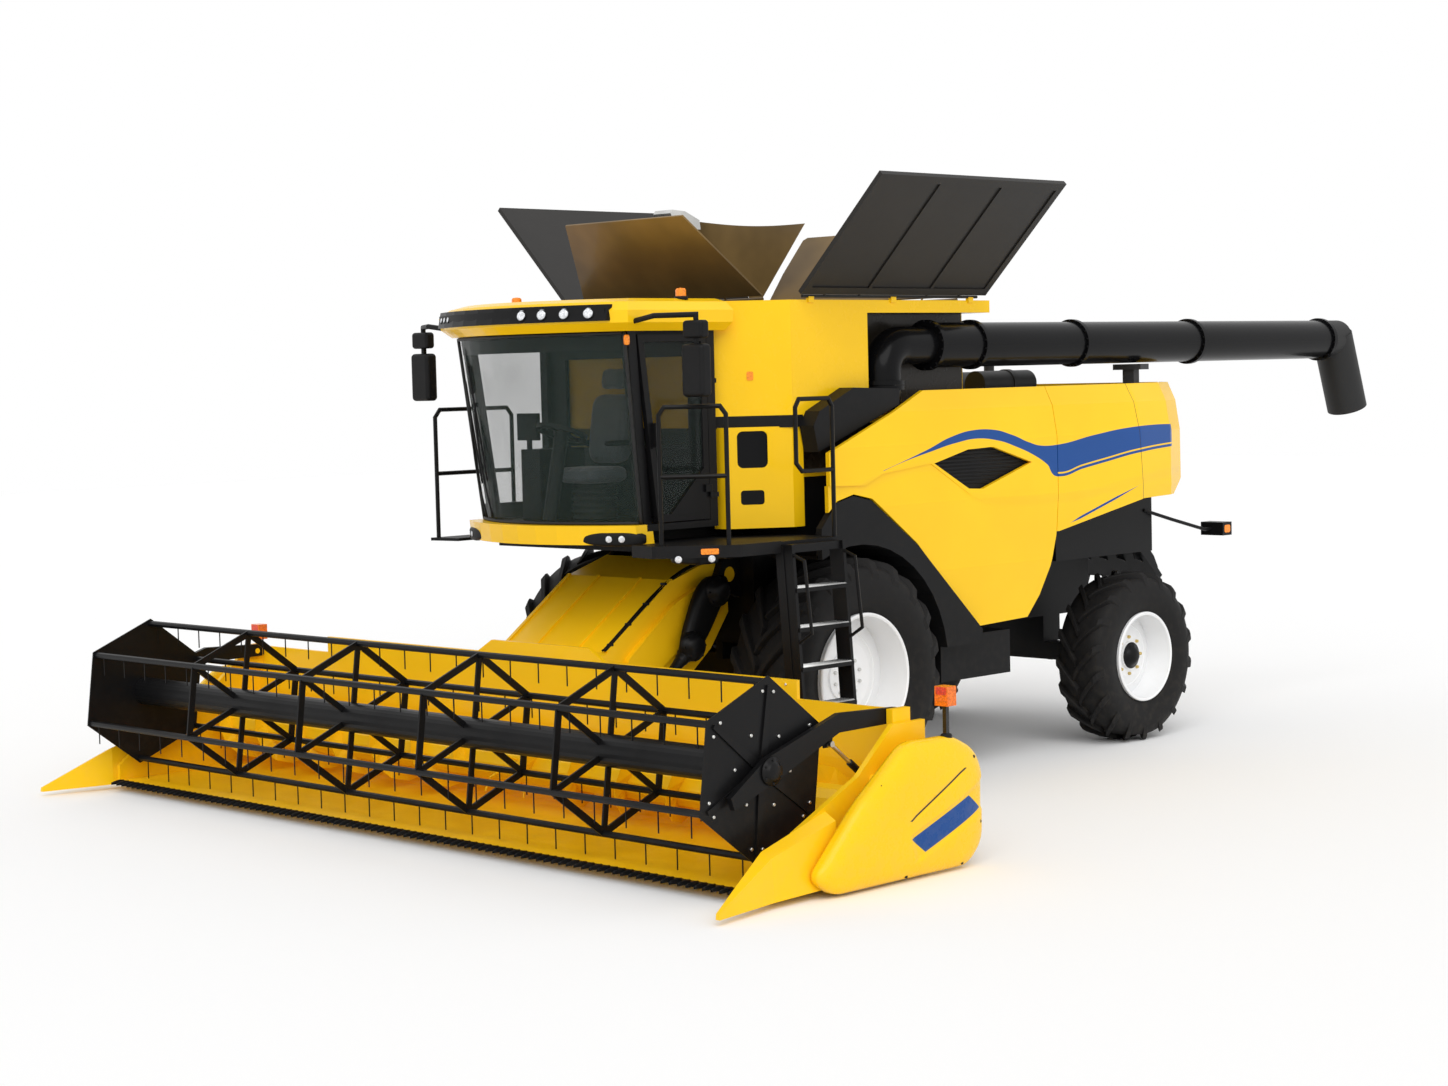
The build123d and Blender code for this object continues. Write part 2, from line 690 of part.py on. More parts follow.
def tank_plan(inset):
    """Outline of the tank in plan."""
    t = inset
    half = TANK_HALF - t
    nose = TANK_NOSE_HALF - t
    return [(TANK_FRONT_X - t, -nose), (TANK_FRONT_X - t, nose), (TANK_MOUTH_X - t * 0.3, half),
            (TANK_REAR_X + t, half),
            (TANK_REAR_X + t, -half), (TANK_MOUTH_X - t * 0.3, -half)]


def grain_tank():
    """Hollow tank with an open mouth, a bay for the unloading tube and hinge ears round the rim."""
    low = plan_prism([(330, -UPPER_HALF), (330, UPPER_HALF), (TANK_REAR_X, UPPER_HALF),
                      (TANK_REAR_X, -UPPER_HALF)],
                     TANK_Z0, 2900)
    high = plan_prism(tank_plan(0), 2900, TANK_Z1)
    inner_low = plan_prism([(300, -1150), (300, 1150), (TANK_REAR_X + TANK_T, 1150),
                            (TANK_REAR_X + TANK_T, -1150)],
                           TANK_Z0 + 40, 2960)
    inner = plan_prism(tank_plan(TANK_T), 2930, TANK_Z1 - TANK_T)
    mouth = box(TANK_REAR_X + TANK_T, TANK_MOUTH_X, -TANK_HALF + TANK_T, TANK_HALF - TANK_T,
                TANK_Z1 - 40, TANK_Z1 + 10)
    bay = box(TANK_REAR_X - 10, BAY_X, BAY_Y, TANK_HALF + 10, BAY_Z0, BAY_Z1)
    bay_wall = box(TANK_REAR_X, BAY_X + TANK_T, BAY_Y - TANK_T, TANK_HALF, BAY_Z0 - TANK_T, BAY_Z1 + TANK_T)
    bay_wall = bay_wall & high
    shell = fuse(low, high) - inner_low - inner - mouth
    shell = fuse(shell, bay_wall) - bay
    ears = []
    for side in (1, -1):
        for x in (COVER_X0 + 150, (COVER_X0 + COVER_X1) / 2, COVER_X1 - 150):
            ears.append(box(x - 30, x + 30, side * (COVER_HINGE_Y - 15), side * (COVER_HINGE_Y + 15),
                            TANK_Z1 - 20,
                            COVER_HINGE_Z - 2))
        for x, way in ((TANK_MOUTH_X, -1), (TANK_REAR_X + TANK_T, 1)):
            ears.append(box(x - way * 15, x + way * (FLAP_IN + 12), side * 860 - 25, side * 860 + 25,
                            TANK_Z1 - 25,
                            FLAP_HINGE_Z - 2))
    for x in (FILL_X - FILL_EAR, FILL_X + FILL_EAR):
        ears.append(box(x - 15, x + 15, -TANK_HALF + TANK_T - 10, FILL_Y + 45, FILL_Z - 50, FILL_Z + 50))
    rods = [rod((COVER_X0 - 60, side * COVER_HINGE_Y, COVER_HINGE_Z),
                (COVER_X1 + 60, side * COVER_HINGE_Y, COVER_HINGE_Z),
                HINGE_ROD_R + SHAFT_GAP) for side in (1, -1)]
    for x in (TANK_MOUTH_X - FLAP_IN, TANK_REAR_X + TANK_T + FLAP_IN):
        rods.append(rod((x, -1200, FLAP_HINGE_Z), (x, 1200, FLAP_HINGE_Z), HINGE_ROD_R + SHAFT_GAP))
    rods.append(rod((FILL_X - 300, FILL_Y, FILL_Z), (FILL_X + 300, FILL_Y, FILL_Z), 25 + SHAFT_GAP))
    ears = ears + pair(panel_ear(PANEL_EAR_TANK, TANK_HALF - 10)) + pair(panel_foot())
    return fuse(shell, ears) - rods


def panel_foot():
    """Gusset that carries the tank's panel bracket over the bay floor."""
    x = PANEL_EAR_TANK
    return box(x - 20, x + 20, TANK_HALF - 40, TANK_HALF, BAY_Z0 - 20, PANEL_HINGE_Z - 13)


def tank_cover_left():
    """Side cover, open and leaning outwards, with its hinge rod and a frame on the outside."""
    along, up = lean(COVER_LEN, COVER_LEAN_DEG)
    nx, nz = -sin(radians(COVER_LEAN_DEG)), cos(radians(COVER_LEAN_DEG))
    h = COVER_T / 2
    start = 40
    a = (COVER_HINGE_Y + start * cos(radians(COVER_LEAN_DEG)),
         COVER_HINGE_Z + start * sin(radians(COVER_LEAN_DEG)))
    b = (COVER_HINGE_Y + along, COVER_HINGE_Z + up)
    plate = cross_prism([(a[0] + nx * h, a[1] + nz * h), (b[0] + nx * h, b[1] + nz * h),
                         (b[0] - nx * h, b[1] - nz * h),
                         (a[0] - nx * h, a[1] - nz * h)], COVER_X0, COVER_X1)
    hinge = rod((COVER_X0 + 60, COVER_HINGE_Y, COVER_HINGE_Z),
                (COVER_X1 - 60, COVER_HINGE_Y, COVER_HINGE_Z), HINGE_ROD_R)
    arms = []
    for x in (COVER_X0 + 300, COVER_X0 + 700, COVER_X1 - 700, COVER_X1 - 300):
        c = (COVER_HINGE_Y + 60 * cos(radians(COVER_LEAN_DEG)),
             COVER_HINGE_Z + 60 * sin(radians(COVER_LEAN_DEG)))
        arms.append(rod((x, COVER_HINGE_Y, COVER_HINGE_Z), (x, c[0], c[1]), 9))
    middle = ((COVER_X0 + COVER_X1) / 2, (a[0] + b[0]) / 2 - nx * h, (a[1] + b[1]) / 2 - nz * h)
    outside = Plane(origin=middle, x_dir=(1, 0, 0), z_dir=(0, -nx, -nz))
    long, deep = COVER_X1 - COVER_X0, COVER_LEN - start
    border = Rectangle(long, deep) - Rectangle(long - 2 * COVER_FRAME_W, deep - 2 * COVER_FRAME_W)
    bars = [Pos(x, 0) * Rectangle(COVER_FRAME_W / 2, deep) for x in (-long / 6, long / 6)]
    frame = extrude(outside * (border + bars), COVER_FRAME_T)
    return fuse(plate, hinge, arms, frame)


def tank_cover_right():
    """Mirror image of the left cover."""
    return flip(tank_cover_left())


def flap(hinge_x, way):
    """End flap, open and leaning outwards, wide at the hinge and narrow at the top."""
    along, up = lean(FLAP_LEN, 90 - FLAP_LEAN_DEG)
    start_along, start_up = lean(35, 90 - FLAP_LEAN_DEG)
    low = (hinge_x + way * start_along, FLAP_HINGE_Z + start_up)
    top = (hinge_x + way * along, FLAP_HINGE_Z + up)
    nx = -way * cos(radians(FLAP_LEAN_DEG)) * FLAP_T / 2
    nz = sin(radians(FLAP_LEAN_DEG)) * FLAP_T / 2
    points = [(low[0] - nx, -FLAP_HALF0, low[1] - nz), (low[0] - nx, FLAP_HALF0, low[1] - nz),
              (top[0] - nx, FLAP_HALF1, top[1] - nz), (top[0] - nx, -FLAP_HALF1, top[1] - nz)]
    plate = prism(points, (2 * nx, 0, 2 * nz))
    hinge = rod((hinge_x, -FLAP_HALF0 + 20, FLAP_HINGE_Z), (hinge_x, FLAP_HALF0 - 20, FLAP_HINGE_Z),
                HINGE_ROD_R)
    arms = []
    for y in (-600, 0, 600):
        arms.append(rod((hinge_x, y, FLAP_HINGE_Z), (hinge_x + way * start_along * 1.6, y,
                                                     FLAP_HINGE_Z + start_up * 1.6), 8))
    return fuse(plate, hinge, arms)


def tank_flap_front():
    """Flap on the front edge of the mouth."""
    return flap(TANK_MOUTH_X - FLAP_IN, 1)


def tank_flap_rear():
    """Flap on the rear edge of the mouth."""
    return flap(TANK_REAR_X + TANK_T + FLAP_IN, -1)


def filling_auger():
    """Folding tube that fills the tank, with a curved cowl at its top."""
    top = FILL_Z + FILL_LEN
    tube = rod((FILL_X, FILL_Y, FILL_Z - 60), (FILL_X, FILL_Y, top - 150), FILL_R)
    cowl = side_prism([(FILL_X - 140, top - 160), (FILL_X + 140, top - 160), (FILL_X + 210, top - 30),
                       (FILL_X + 190, top),
                       (FILL_X + 40, top - 10), (FILL_X - 130, top - 80)], FILL_Y - 105, FILL_Y + 105)
    pin = rod((FILL_X - FILL_EAR - 14, FILL_Y, FILL_Z), (FILL_X + FILL_EAR + 14, FILL_Y, FILL_Z), 25)
    return fuse(tube, cowl, pin)


# Unloading tube


def unloader_base():
    """Fixed vertical neck that the unloading tube turns on."""
    neck = rod((UNLOAD_X, UNLOAD_Y, BAY_Z0), (UNLOAD_X, UNLOAD_Y, UNLOAD_BASE_Z - SLIP_GAP), UNLOAD_NECK_R)
    flange = rod((UNLOAD_X, UNLOAD_Y, UNLOAD_BASE_Z - 40), (UNLOAD_X, UNLOAD_Y,
                                                            UNLOAD_BASE_Z - SLIP_GAP), UNLOAD_NECK_R + 28)
    socket = rod((UNLOAD_X, UNLOAD_Y, UNLOAD_BASE_Z - SPIGOT_LEN - 10),
                 (UNLOAD_X, UNLOAD_Y, UNLOAD_BASE_Z), SPIGOT_R + SHAFT_GAP)
    return fuse(neck, flange) - socket


def unloader_tube():
    """Swinging elbow and long tube with bolted flange rings."""
    flange = rod((UNLOAD_X, UNLOAD_Y, UNLOAD_BASE_Z), (UNLOAD_X, UNLOAD_Y, UNLOAD_BASE_Z + 34),
                 UNLOAD_NECK_R + 28)
    bend_x = UNLOAD_X - UNLOAD_BEND_R
    bend_z = UNLOAD_Z - UNLOAD_BEND_R
    neck = rod((UNLOAD_X, UNLOAD_Y, UNLOAD_BASE_Z), (UNLOAD_X, UNLOAD_Y, bend_z), UNLOAD_NECK_R)
    mouth = Plane(origin=(UNLOAD_X, UNLOAD_Y, bend_z)) * Circle(UNLOAD_NECK_R)
    bend = revolve(mouth, axis=Axis((bend_x, UNLOAD_Y, bend_z), (0, -1, 0)), revolution_arc=90)
    first = rod((bend_x, UNLOAD_Y, UNLOAD_Z), (UNLOAD_FLANGES[0], UNLOAD_Y, UNLOAD_Z), UNLOAD_NECK_R)
    tube = rod((UNLOAD_FLANGES[0], UNLOAD_Y, UNLOAD_Z), (UNLOAD_END_X, UNLOAD_Y, UNLOAD_Z), UNLOAD_R)
    rings = [rod((x + 22, UNLOAD_Y, UNLOAD_Z), (x - 22, UNLOAD_Y, UNLOAD_Z), UNLOAD_R + 22)
             for x in UNLOAD_FLANGES]
    spigot = rod((UNLOAD_X, UNLOAD_Y, UNLOAD_BASE_Z - SPIGOT_LEN),
                 (UNLOAD_X, UNLOAD_Y, UNLOAD_BASE_Z + 10), SPIGOT_R)
    return fuse(flange, neck, bend, first, tube, rings, spigot)


def unloader_spout():
    """Rubber spout that turns the grain down at the end of the tube."""
    dx = -sin(radians(SPOUT_LEAN_DEG)) * SPOUT_LEN
    dz = -cos(radians(SPOUT_LEAN_DEG)) * SPOUT_LEN
    top = (UNLOAD_END_X - SPOUT_BACK, UNLOAD_Y, UNLOAD_Z + 40)
    end = (top[0] + dx, UNLOAD_Y, top[2] + dz)
    drop = rod(top, end, SPOUT_R)
    cap = rod((UNLOAD_END_X, UNLOAD_Y, UNLOAD_Z), (UNLOAD_END_X - 260, UNLOAD_Y, UNLOAD_Z), UNLOAD_R)
    hollow = rod((top[0] + dx * 0.35, UNLOAD_Y, top[2] + dz * 0.35),
                 (end[0] + dx * 0.1, UNLOAD_Y, end[2] + dz * 0.1),
                 SPOUT_R - 22)
    return fuse(cap, drop) - hollow


# Cab


def screen_arc(side_x, half, bulge, steps, back):
    """Curved front edge in plan, right to left, moved back by a given amount."""
    points = []
    for k in range(steps + 1):
        y = -half + 2 * half * k / steps
        points.append((side_x + bulge * (1 - (y / half) ** 2) - back, y))
    return points


def screen_band(z0, z1, x0, x1, half0, half1, thick, grow):
    """Curved band between two heights that follows the windscreen."""
    faces = []
    for z, x, half in ((z0, x0, half0), (z1, x1, half1)):
        front = screen_arc(x + grow, half, SCREEN_BULGE, 10, 0)
        back = screen_arc(x + grow, half, SCREEN_BULGE, 10, thick)
        faces.append(make_face(Polyline(*[(px, py, z) for px, py in front + back[::-1]], close=True)))
    return loft(faces, ruled=True)


def slanted_post(x0, y0, x1, y1, size):
    """Leaning post between the floor and the roof."""
    faces = []
    for x, y, z in ((x0, y0, CAB_Z0), (x1, y1, CAB_Z1)):
        faces.append(make_face(Polyline((x - size / 2, y - size / 2, z), (x + size / 2, y - size / 2, z),
                                        (x + size / 2, y + size / 2, z), (x - size / 2, y + size / 2, z),
                                        close=True)))
    return loft(faces, ruled=True)


def cab_floor():
    """Floor plate with a curved front edge."""
    plan = [(CAB_REAR_X, -CAB_HALF), (CAB_REAR_X, CAB_HALF), (POST_LOW_X, CAB_HALF)]
    plan += screen_arc(POST_LOW_X, POST_LOW_Y, SCREEN_BULGE, 10, 40)[::-1] + [(POST_LOW_X, -CAB_HALF)]
    return plan_prism(plan, CAB_Z0 - 50, CAB_Z0)


def cab_shell():
    """Cab floor, posts, right side and rear wall with their window openings."""
    floor = cab_floor()
    half = CAB_HALF - POST / 2
    posts = []
    for side in (1, -1):
        posts.append(slanted_post(POST_LOW_X - POST_BACK, side * (POST_LOW_Y - 20),
                                  POST_TOP_X - POST_BACK, side * half, POST))
        posts.append(box(CAB_REAR_X, CAB_REAR_X + POST, side * (half - POST / 2), side * CAB_HALF,
                         CAB_Z0, CAB_Z1))
    rear = box(CAB_REAR_X, CAB_REAR_X + 40, -half, half, CAB_Z0, CAB_Z1) - box(900, 1100, -700, 700,
                                                                               2750, 3450)
    header_rail = box(CAB_REAR_X + 40, POST_TOP_X - 20, half - POST / 2, half - POST / 2 + 34,
                      CAB_Z1 - 60, CAB_Z1)
    right_rail = box(CAB_REAR_X + 40, POST_TOP_X - 20, -CAB_HALF + 6, -half + POST / 2, CAB_Z1 - 60, CAB_Z1)
    right_sill = box(CAB_REAR_X + 40, POST_LOW_X - 20, -CAB_HALF + 6, -half + POST / 2, CAB_Z0, CAB_Z0 + 120)
    top_arc = screen_arc(POST_TOP_X, half, SCREEN_BULGE, 10, 14)
    back_arc = screen_arc(POST_TOP_X, half, SCREEN_BULGE, 10, 80)
    top_band = plan_prism(top_arc + back_arc[::-1], CAB_Z1 - 40, CAB_Z1)
    lugs = []
    for z in DOOR_HINGES_Z:
        lug = box(CAB_REAR_X + 20, DOOR_HINGE_X, CAB_HALF - 10, DOOR_HINGE_Y + 14, z - 36, z)
        lug = fuse(lug, rod((DOOR_HINGE_X, DOOR_HINGE_Y, z - 36), (DOOR_HINGE_X, DOOR_HINGE_Y, z), 14))
        lug -= rod((DOOR_HINGE_X, DOOR_HINGE_Y, z - 50), (DOOR_HINGE_X, DOOR_HINGE_Y, z + 10),
                   DOOR_PIN_R + SHAFT_GAP)
        lugs.append(lug - box(CAB_REAR_X + POST + 2, DOOR_HINGE_X + 20, 0, DOOR_FACE_Y + 3, z - 50, z + 10))
    return fuse(floor, posts, rear, header_rail, right_rail, right_sill, top_band, lugs)


def cab_glass():
    """Curved windscreen, right window and rear window."""
    screen = screen_band(CAB_Z0, CAB_Z1, POST_LOW_X, POST_TOP_X, POST_LOW_Y + 30, CAB_HALF, GLASS_T, 4)
    right = side_prism([(CAB_REAR_X + POST, CAB_Z0 + 120), (POST_LOW_X - 114, CAB_Z0 + 120),
                        (POST_TOP_X - 116, CAB_Z1 - 60),
                        (CAB_REAR_X + POST, CAB_Z1 - 60)], -CAB_HALF + 20, -CAB_HALF + 20 + GLASS_T)
    rear = box(CAB_REAR_X + 15, CAB_REAR_X + 15 + GLASS_T, -700, 700, 2750, 3450)
    return group(screen, right, rear)


def door_plane(inset):
    """Door outline in x and z."""
    g = inset
    slope = (POST_TOP_X - POST_LOW_X) / (CAB_Z1 - CAB_Z0)
    low = CAB_Z0 + SLIP_GAP + 4 + g
    top = CAB_Z1 - 26 - g
    front_low = POST_LOW_X - DOOR_FRONT_BACK + slope * (low - CAB_Z0) - g
    front_top = POST_LOW_X - DOOR_FRONT_BACK + slope * (top - CAB_Z0) - g
    rear = CAB_REAR_X + POST + SLIP_GAP + 4 + g
    return [(rear, low), (front_low, low), (front_top, top), (rear, top)]


def door_frame():
    """Door frame with a large slanted window opening."""
    y1 = DOOR_FACE_Y
    (rear, low), (front_low, _), (front_top, top), _ = door_plane(55)
    window = [(rear, low + 330), (rear + 350, low), (front_low, low), (front_top, top), (rear, top)]
    frame = side_prism(door_plane(0), y1 - DOOR_T, y1) - side_prism(window, y1 - DOOR_T - 5, y1 + 5)
    handle = box(front_low + 70, front_low + 90, y1, y1 + 40, 2780, 2960)
    handle = fuse(handle, box(front_low + 62, front_low + 98, y1 - 10, y1 + 12, 2770, 2800))
    hinges = []
    for z in DOOR_HINGES_Z:
        hinges.append(rod((DOOR_HINGE_X, DOOR_HINGE_Y, z - 34), (DOOR_HINGE_X, DOOR_HINGE_Y, z + 60),
                          DOOR_PIN_R))
        hinges.append(box(DOOR_HINGE_X - 6, DOOR_HINGE_X + 60, y1 - 4, DOOR_HINGE_Y + 5, z + SLIP_GAP,
                          z + 60))
    return fuse(frame, handle, hinges)


def door_glass():
    """Door window pane."""
    (rear, low), (front_low, _), (front_top, top), _ = door_plane(56)
    pane = [(rear, low + 330), (rear + 350, low), (front_low, low), (front_top, top), (rear, top)]
    y = DOOR_FACE_Y - DOOR_T / 2
    return side_prism(pane, y - GLASS_T / 2, y + GLASS_T / 2)


def cab_sill():
    """Yellow lip and bumper below the windscreen."""
    low = POST_LOW_Y + 80
    lip = screen_band(CAB_Z0 - 142, CAB_Z0, POST_LOW_X + 40, POST_LOW_X + 60, low, low, 170, 60)
    return lip - cab_floor() - platform()


def cab_roof():
    """Yellow roof with a curved front edge."""
    faces = []
    for z, inset in ((CAB_Z1, 70), (CAB_Z1 + 60, 10), (CAB_Z1 + 150, 0), (ROOF_Z1 - 25, 60), (ROOF_Z1, 140)):
        half = ROOF_HALF - inset
        front = screen_arc(ROOF_FRONT_X - inset, half, ROOF_BULGE, 12, 0)
        outline = front + [(ROOF_REAR_X + inset * 0.4, half), (ROOF_REAR_X + inset * 0.4, -half)]
        faces.append(make_face(Polyline(*[(x, y, z) for x, y in outline], close=True)))
    return loft(faces, ruled=True) - plan_prism(tank_plan(-SLIP_GAP), CAB_Z1 - 100, ROOF_Z1 + 100)


def cab_seat():
    """Operator's seat: pedestal, cushion, backrest and headrest."""
    pedestal = box(1230, 1470, -180, 180, CAB_Z0, 2500)
    cushion = box(1130, 1600, -250, 250, 2490, 2620)
    cushion = fillet(cushion.edges(), 45)
    back = side_prism([(1130, 2600), (1240, 2600), (1150, 3200), (1060, 3200)], -240, 240)
    back = fillet(back.edges(), 35)
    head = side_prism([(1080, 3190), (1150, 3190), (1120, 3390), (1060, 3390)], -150, 150)
    head = fillet(head.edges(), 25)
    return fuse(pedestal, cushion, back, head)


def cab_controls():
    """Steering column with its wheel, side console and screen."""
    column = rod((1830, 0, CAB_Z0 - 40), (1672, 0, 2885), 55) & box(1500, 2000, -100, 100, CAB_Z0, 3000)
    wheel_plane = Plane(origin=(1672, 0, 2890), z_dir=(-0.35, 0, 0.94))
    wheel = wheel_plane * (Cylinder(200, 34) - Cylinder(168, 40))
    spokes = wheel_plane * (Box(380, 40, 18) + Cylinder(60, 44))
    console = box(1180, 1640, -520, -300, CAB_Z0, 2760)
    screen = box(1600, 1640, -560, -330, 2830, 3040)
    stalk = box(1600, 1630, -460, -430, 2700, 2850)
    return group(fuse(column, wheel, spokes), fuse(console, screen, stalk))


# Platform, ladder, rails, mirrors and lamps


def platform():
    """Walkways on both sides of the cab and the frame below its floor."""
    left = plan_prism([(430, TRUNK_HALF), (430, DECK_HALF), (1500, DECK_HALF), (1950, 1290),
                       (1900, 1010), (1640, 1010),
                       (1640, TRUNK_HALF)], DECK_Z0, CAB_Z0 - 142)
    right = plan_prism([(900, -TRUNK_HALF), (900, -1290), (1950, -1290), (1900, -1010), (1640, -1010),
                        (1640, -TRUNK_HALF)], DECK_Z0, CAB_Z0 - 142)
    deck = box(330, 1640, -TRUNK_HALF, TRUNK_HALF, CAB_BASE_Z0, CAB_Z0 - 142)
    mid = box(TRUNK_FRONT_X, 1560, -700, 700, CAB_Z0 - 142, CAB_Z0 - 50)
    return fuse(left, right, deck, mid)


def handrails():
    """Bent tube rails on the walkways."""
    z0 = CAB_Z0 - 142
    top = RAIL_TOP_Z
    mid = (z0 + top) / 2
    front = rail([(1880, 1300, z0), (1880, 1300, top - 60), (1850, 1330, top), (1560, 1610, top),
                  (1530, 1640, top - 60),
                  (1530, 1640, z0)])
    front_mid = rail([(1880, 1300, mid), (1530, 1640, mid)])
    gate = rail([(460, 1695, z0), (460, 1695, top - 30), (500, 1695, top + 30), (820, 1695, top + 30),
                 (860, 1695, top - 30),
                 (860, 1695, mid + 60), (800, 1695, mid), (460, 1695, mid)])
    right = rail([(1890, -1265, z0), (1890, -1265, top - 60), (1840, -1265, top), (1150, -1265, top),
                  (1100, -1265, top - 60),
                  (1100, -1265, z0)])
    right_mid = rail([(1890, -1265, mid), (1100, -1265, mid)])
    return group(fuse(front, front_mid), gate, fuse(right, right_mid))


def ladder():
    """Hanging ladder outside the front wheel, with side plates and its own grips."""
    plates = []
    for x in (LADDER_X0, LADDER_X1 - 30):
        plates.append(prism([(x, LADDER_Y, DECK_Z0), (x, LADDER_Y + 140, DECK_Z0),
                             (x, LADDER_Y + 230, LADDER_Z0),
                             (x, LADDER_Y + 90, LADDER_Z0)], (30, 0, 0)))
    grips = []
    for x in (LADDER_X0 + 15, LADDER_X1 - 15):
        grips.append(rail([(x, LADDER_Y + 90, 1990), (x, LADDER_Y + 250, 1930), (x, LADDER_Y + 310, 1400),
                           (x, LADDER_Y + 130, 1290)], 13))
    return group(fuse(plates[0], grips, box(LADDER_X0, LADDER_X1, LADDER_Y + 20, LADDER_Y + 120,
                                            DECK_Z0 - 60, DECK_Z0), plates[1],
                      [step_bar(k) for k in range(LADDER_STEPS)]))


def step_bar(k):
    """One tread between the ladder's side plates."""
    z = LADDER_Z0 + 60 + (DECK_Z0 - LADDER_Z0 - 120) * k / LADDER_STEPS
    y = LADDER_Y + 90 - 90 * (z - LADDER_Z0) / (DECK_Z0 - LADDER_Z0)
    return box(LADDER_X0 + 10, LADDER_X1 - 10, y + 5, y + 150, z, z + 30)


def mirrors():
    """Mirror arms on the roof's front corners with two heads each."""
    arm = rail([(1870, 1000, 3700), (1900, 1300, 3740), (1740, 1570, 3740), (1740, 1570, 3690)], 20)
    small = box(1700, 1790, 1470, 1670, 3570, 3700)
    small = fillet(small.edges(), 26)
    link = box(1725, 1755, 1555, 1585, 3520, 3580)
    big = box(1690, 1800, 1460, 1680, 3150, 3530)
    big = fillet(big.edges(), 32)
    return group(pair(fuse(arm - cab_roof(), small, link, big)))


def roof_strip():
    """Black lamp strip along the roof's front edge."""
    faces = []
    for z, inset in ((CAB_Z1 + 75, -22), (CAB_Z1 + 195, 8)):
        front = screen_arc(ROOF_FRONT_X - inset, ROOF_HALF - 120, ROOF_BULGE - 90, 10, -85)
        back = screen_arc(ROOF_FRONT_X - inset, ROOF_HALF - 120, ROOF_BULGE - 90, 10, -45)
        faces.append(make_face(Polyline(*[(x, y, z) for x, y in front + back[::-1]], close=True)))
    return loft(faces, ruled=True) - cab_roof()


def beacons():
    """Two amber lamps on the roof's rear corners."""
    profile = [(0, -30), (BEACON_R, -30), (BEACON_R, 12), (BEACON_R - 6, 16), (BEACON_R - 6, 62),
               (BEACON_R - 14, 74), (0, 80)]
    dome = revolve(Plane.XZ * make_face(Polyline(*profile, close=True)), axis=Axis.Z)
    return group(pair(Pos(1280, 945, ROOF_Z1) * dome - cab_roof()))


def work_lamps():
    """Roof lamp strip and the lamp boxes on arms at the rear corners."""
    arm = rail([(-4180, UPPER_HALF, 2000), (-4500, 1260, 1900), (-4900, 1330, 1790),
                (-5010, 1340, 1790)], 16)
    head = box(-5130, -4990, 1230, 1470, 1730, 1850)
    arm -= box(TRUNK_REAR_X, 0, -UPPER_HALF, UPPER_HALF, REAR_CLEAR_Z, UPPER_Z1)
    return group(roof_strip(), pair(fuse(arm, head)))


def side_boxes():
    """Tool and battery boxes below the side panels."""
    side = fuse(box(-2040, -1150, 500, 1350, 770, 1130), box(-1900, -1300, 520, 780, 1130, RAIL_Z1))
    return group(pair(side))


def arc_points(middle, radius, start, end, steps):
    """Points on an arc in x and z, from one angle to another."""
    turns = [radians(start + (end - start) * k / steps) for k in range(steps + 1)]
    return [(middle[0] + radius * cos(a), middle[1] + radius * sin(a)) for a in turns]


def straw_chopper():
    """Rotor housing at the rear with fanned guide vanes."""
    housing = box(-4700, TRUNK_REAR_X, -800, 800, REAR_CLEAR_Z + 70, 2120)
    board = side_prism([(-4640, REAR_CLEAR_Z + 70), (-4720, REAR_CLEAR_Z + 110), (-5040, 1340),
                        (-5000, 1310)], -760, 760)
    back = arc_points((-4630, 1250), 450, 94, 8, 6)
    front = arc_points((-4660, 1130), 380, 12, 84, 6)
    front = [(-4660 - (x + 4660), z) for x, z in front]
    vanes = []
    for k in range(VANES):
        y = -700 + 1400 * k / (VANES - 1)
        vanes.append(side_prism([(2 * -4630 - x, z) for x, z in back] + front, y - 5, y + 5))
    return fuse(housing, board, vanes)


# Feeder house and header


def feeder_house():
    """Sloping feeder channel with its pivot stubs and the lift cylinders' ears."""
    outline = [(FEEDER_PIVOT_X - 40, 1800), (700, 1870), (1110, 1740), (1800, 1245), (HEADER_BACK_X, 1200),
               (HEADER_BACK_X, 330), (1750, 360), (720, 1180), (FEEDER_PIVOT_X - 40, 1450)]
    house = side_prism(outline, -FEEDER_HALF, FEEDER_HALF)
    stub = rod((FEEDER_PIVOT_X, -FEEDER_HALF - 60, FEEDER_PIVOT_Z),
               (FEEDER_PIVOT_X, FEEDER_HALF + 60, FEEDER_PIVOT_Z), PIVOT_R)
    bx, bz = LIFT_B
    ears = []
    for side in (1, -1):
        for shift in (1, -1):
            y = side * LIFT_Y + shift * (LIFT_ROD_R + SLIP_GAP + 15)
            ears.append(side_prism([(bx - 60, bz + 130), (bx + 90, bz + 80), (bx + 45, bz - 45),
                                    (bx - 45, bz - 45)], y - 10, y + 10))
    rib = side_prism([(1110, 1738), (1800, 1243), (1809, 1256), (1119, 1752)], -16, 16)
    ribs = [Pos(0, y, 0) * rib for y in (-FEEDER_HALF + 16, -0.4 * FEEDER_HALF, 0.4 * FEEDER_HALF,
                                         FEEDER_HALF - 16)]
    cover = make_face(Polyline((820, 0, 1700), (1150, 0, 1560), (1650, 0, 1170), (1560, 0, 900),
                               (1080, 0, 1230),
                               (800, 0, 1420), close=True))
    cover = extrude(fillet(cover.vertices(), 60), amount=COVER_BULGE, dir=(0, 1, 0))
    covers = pair(Pos(0, FEEDER_HALF, 0) * cover)
    return fuse(house, stub, ears, ribs, covers)


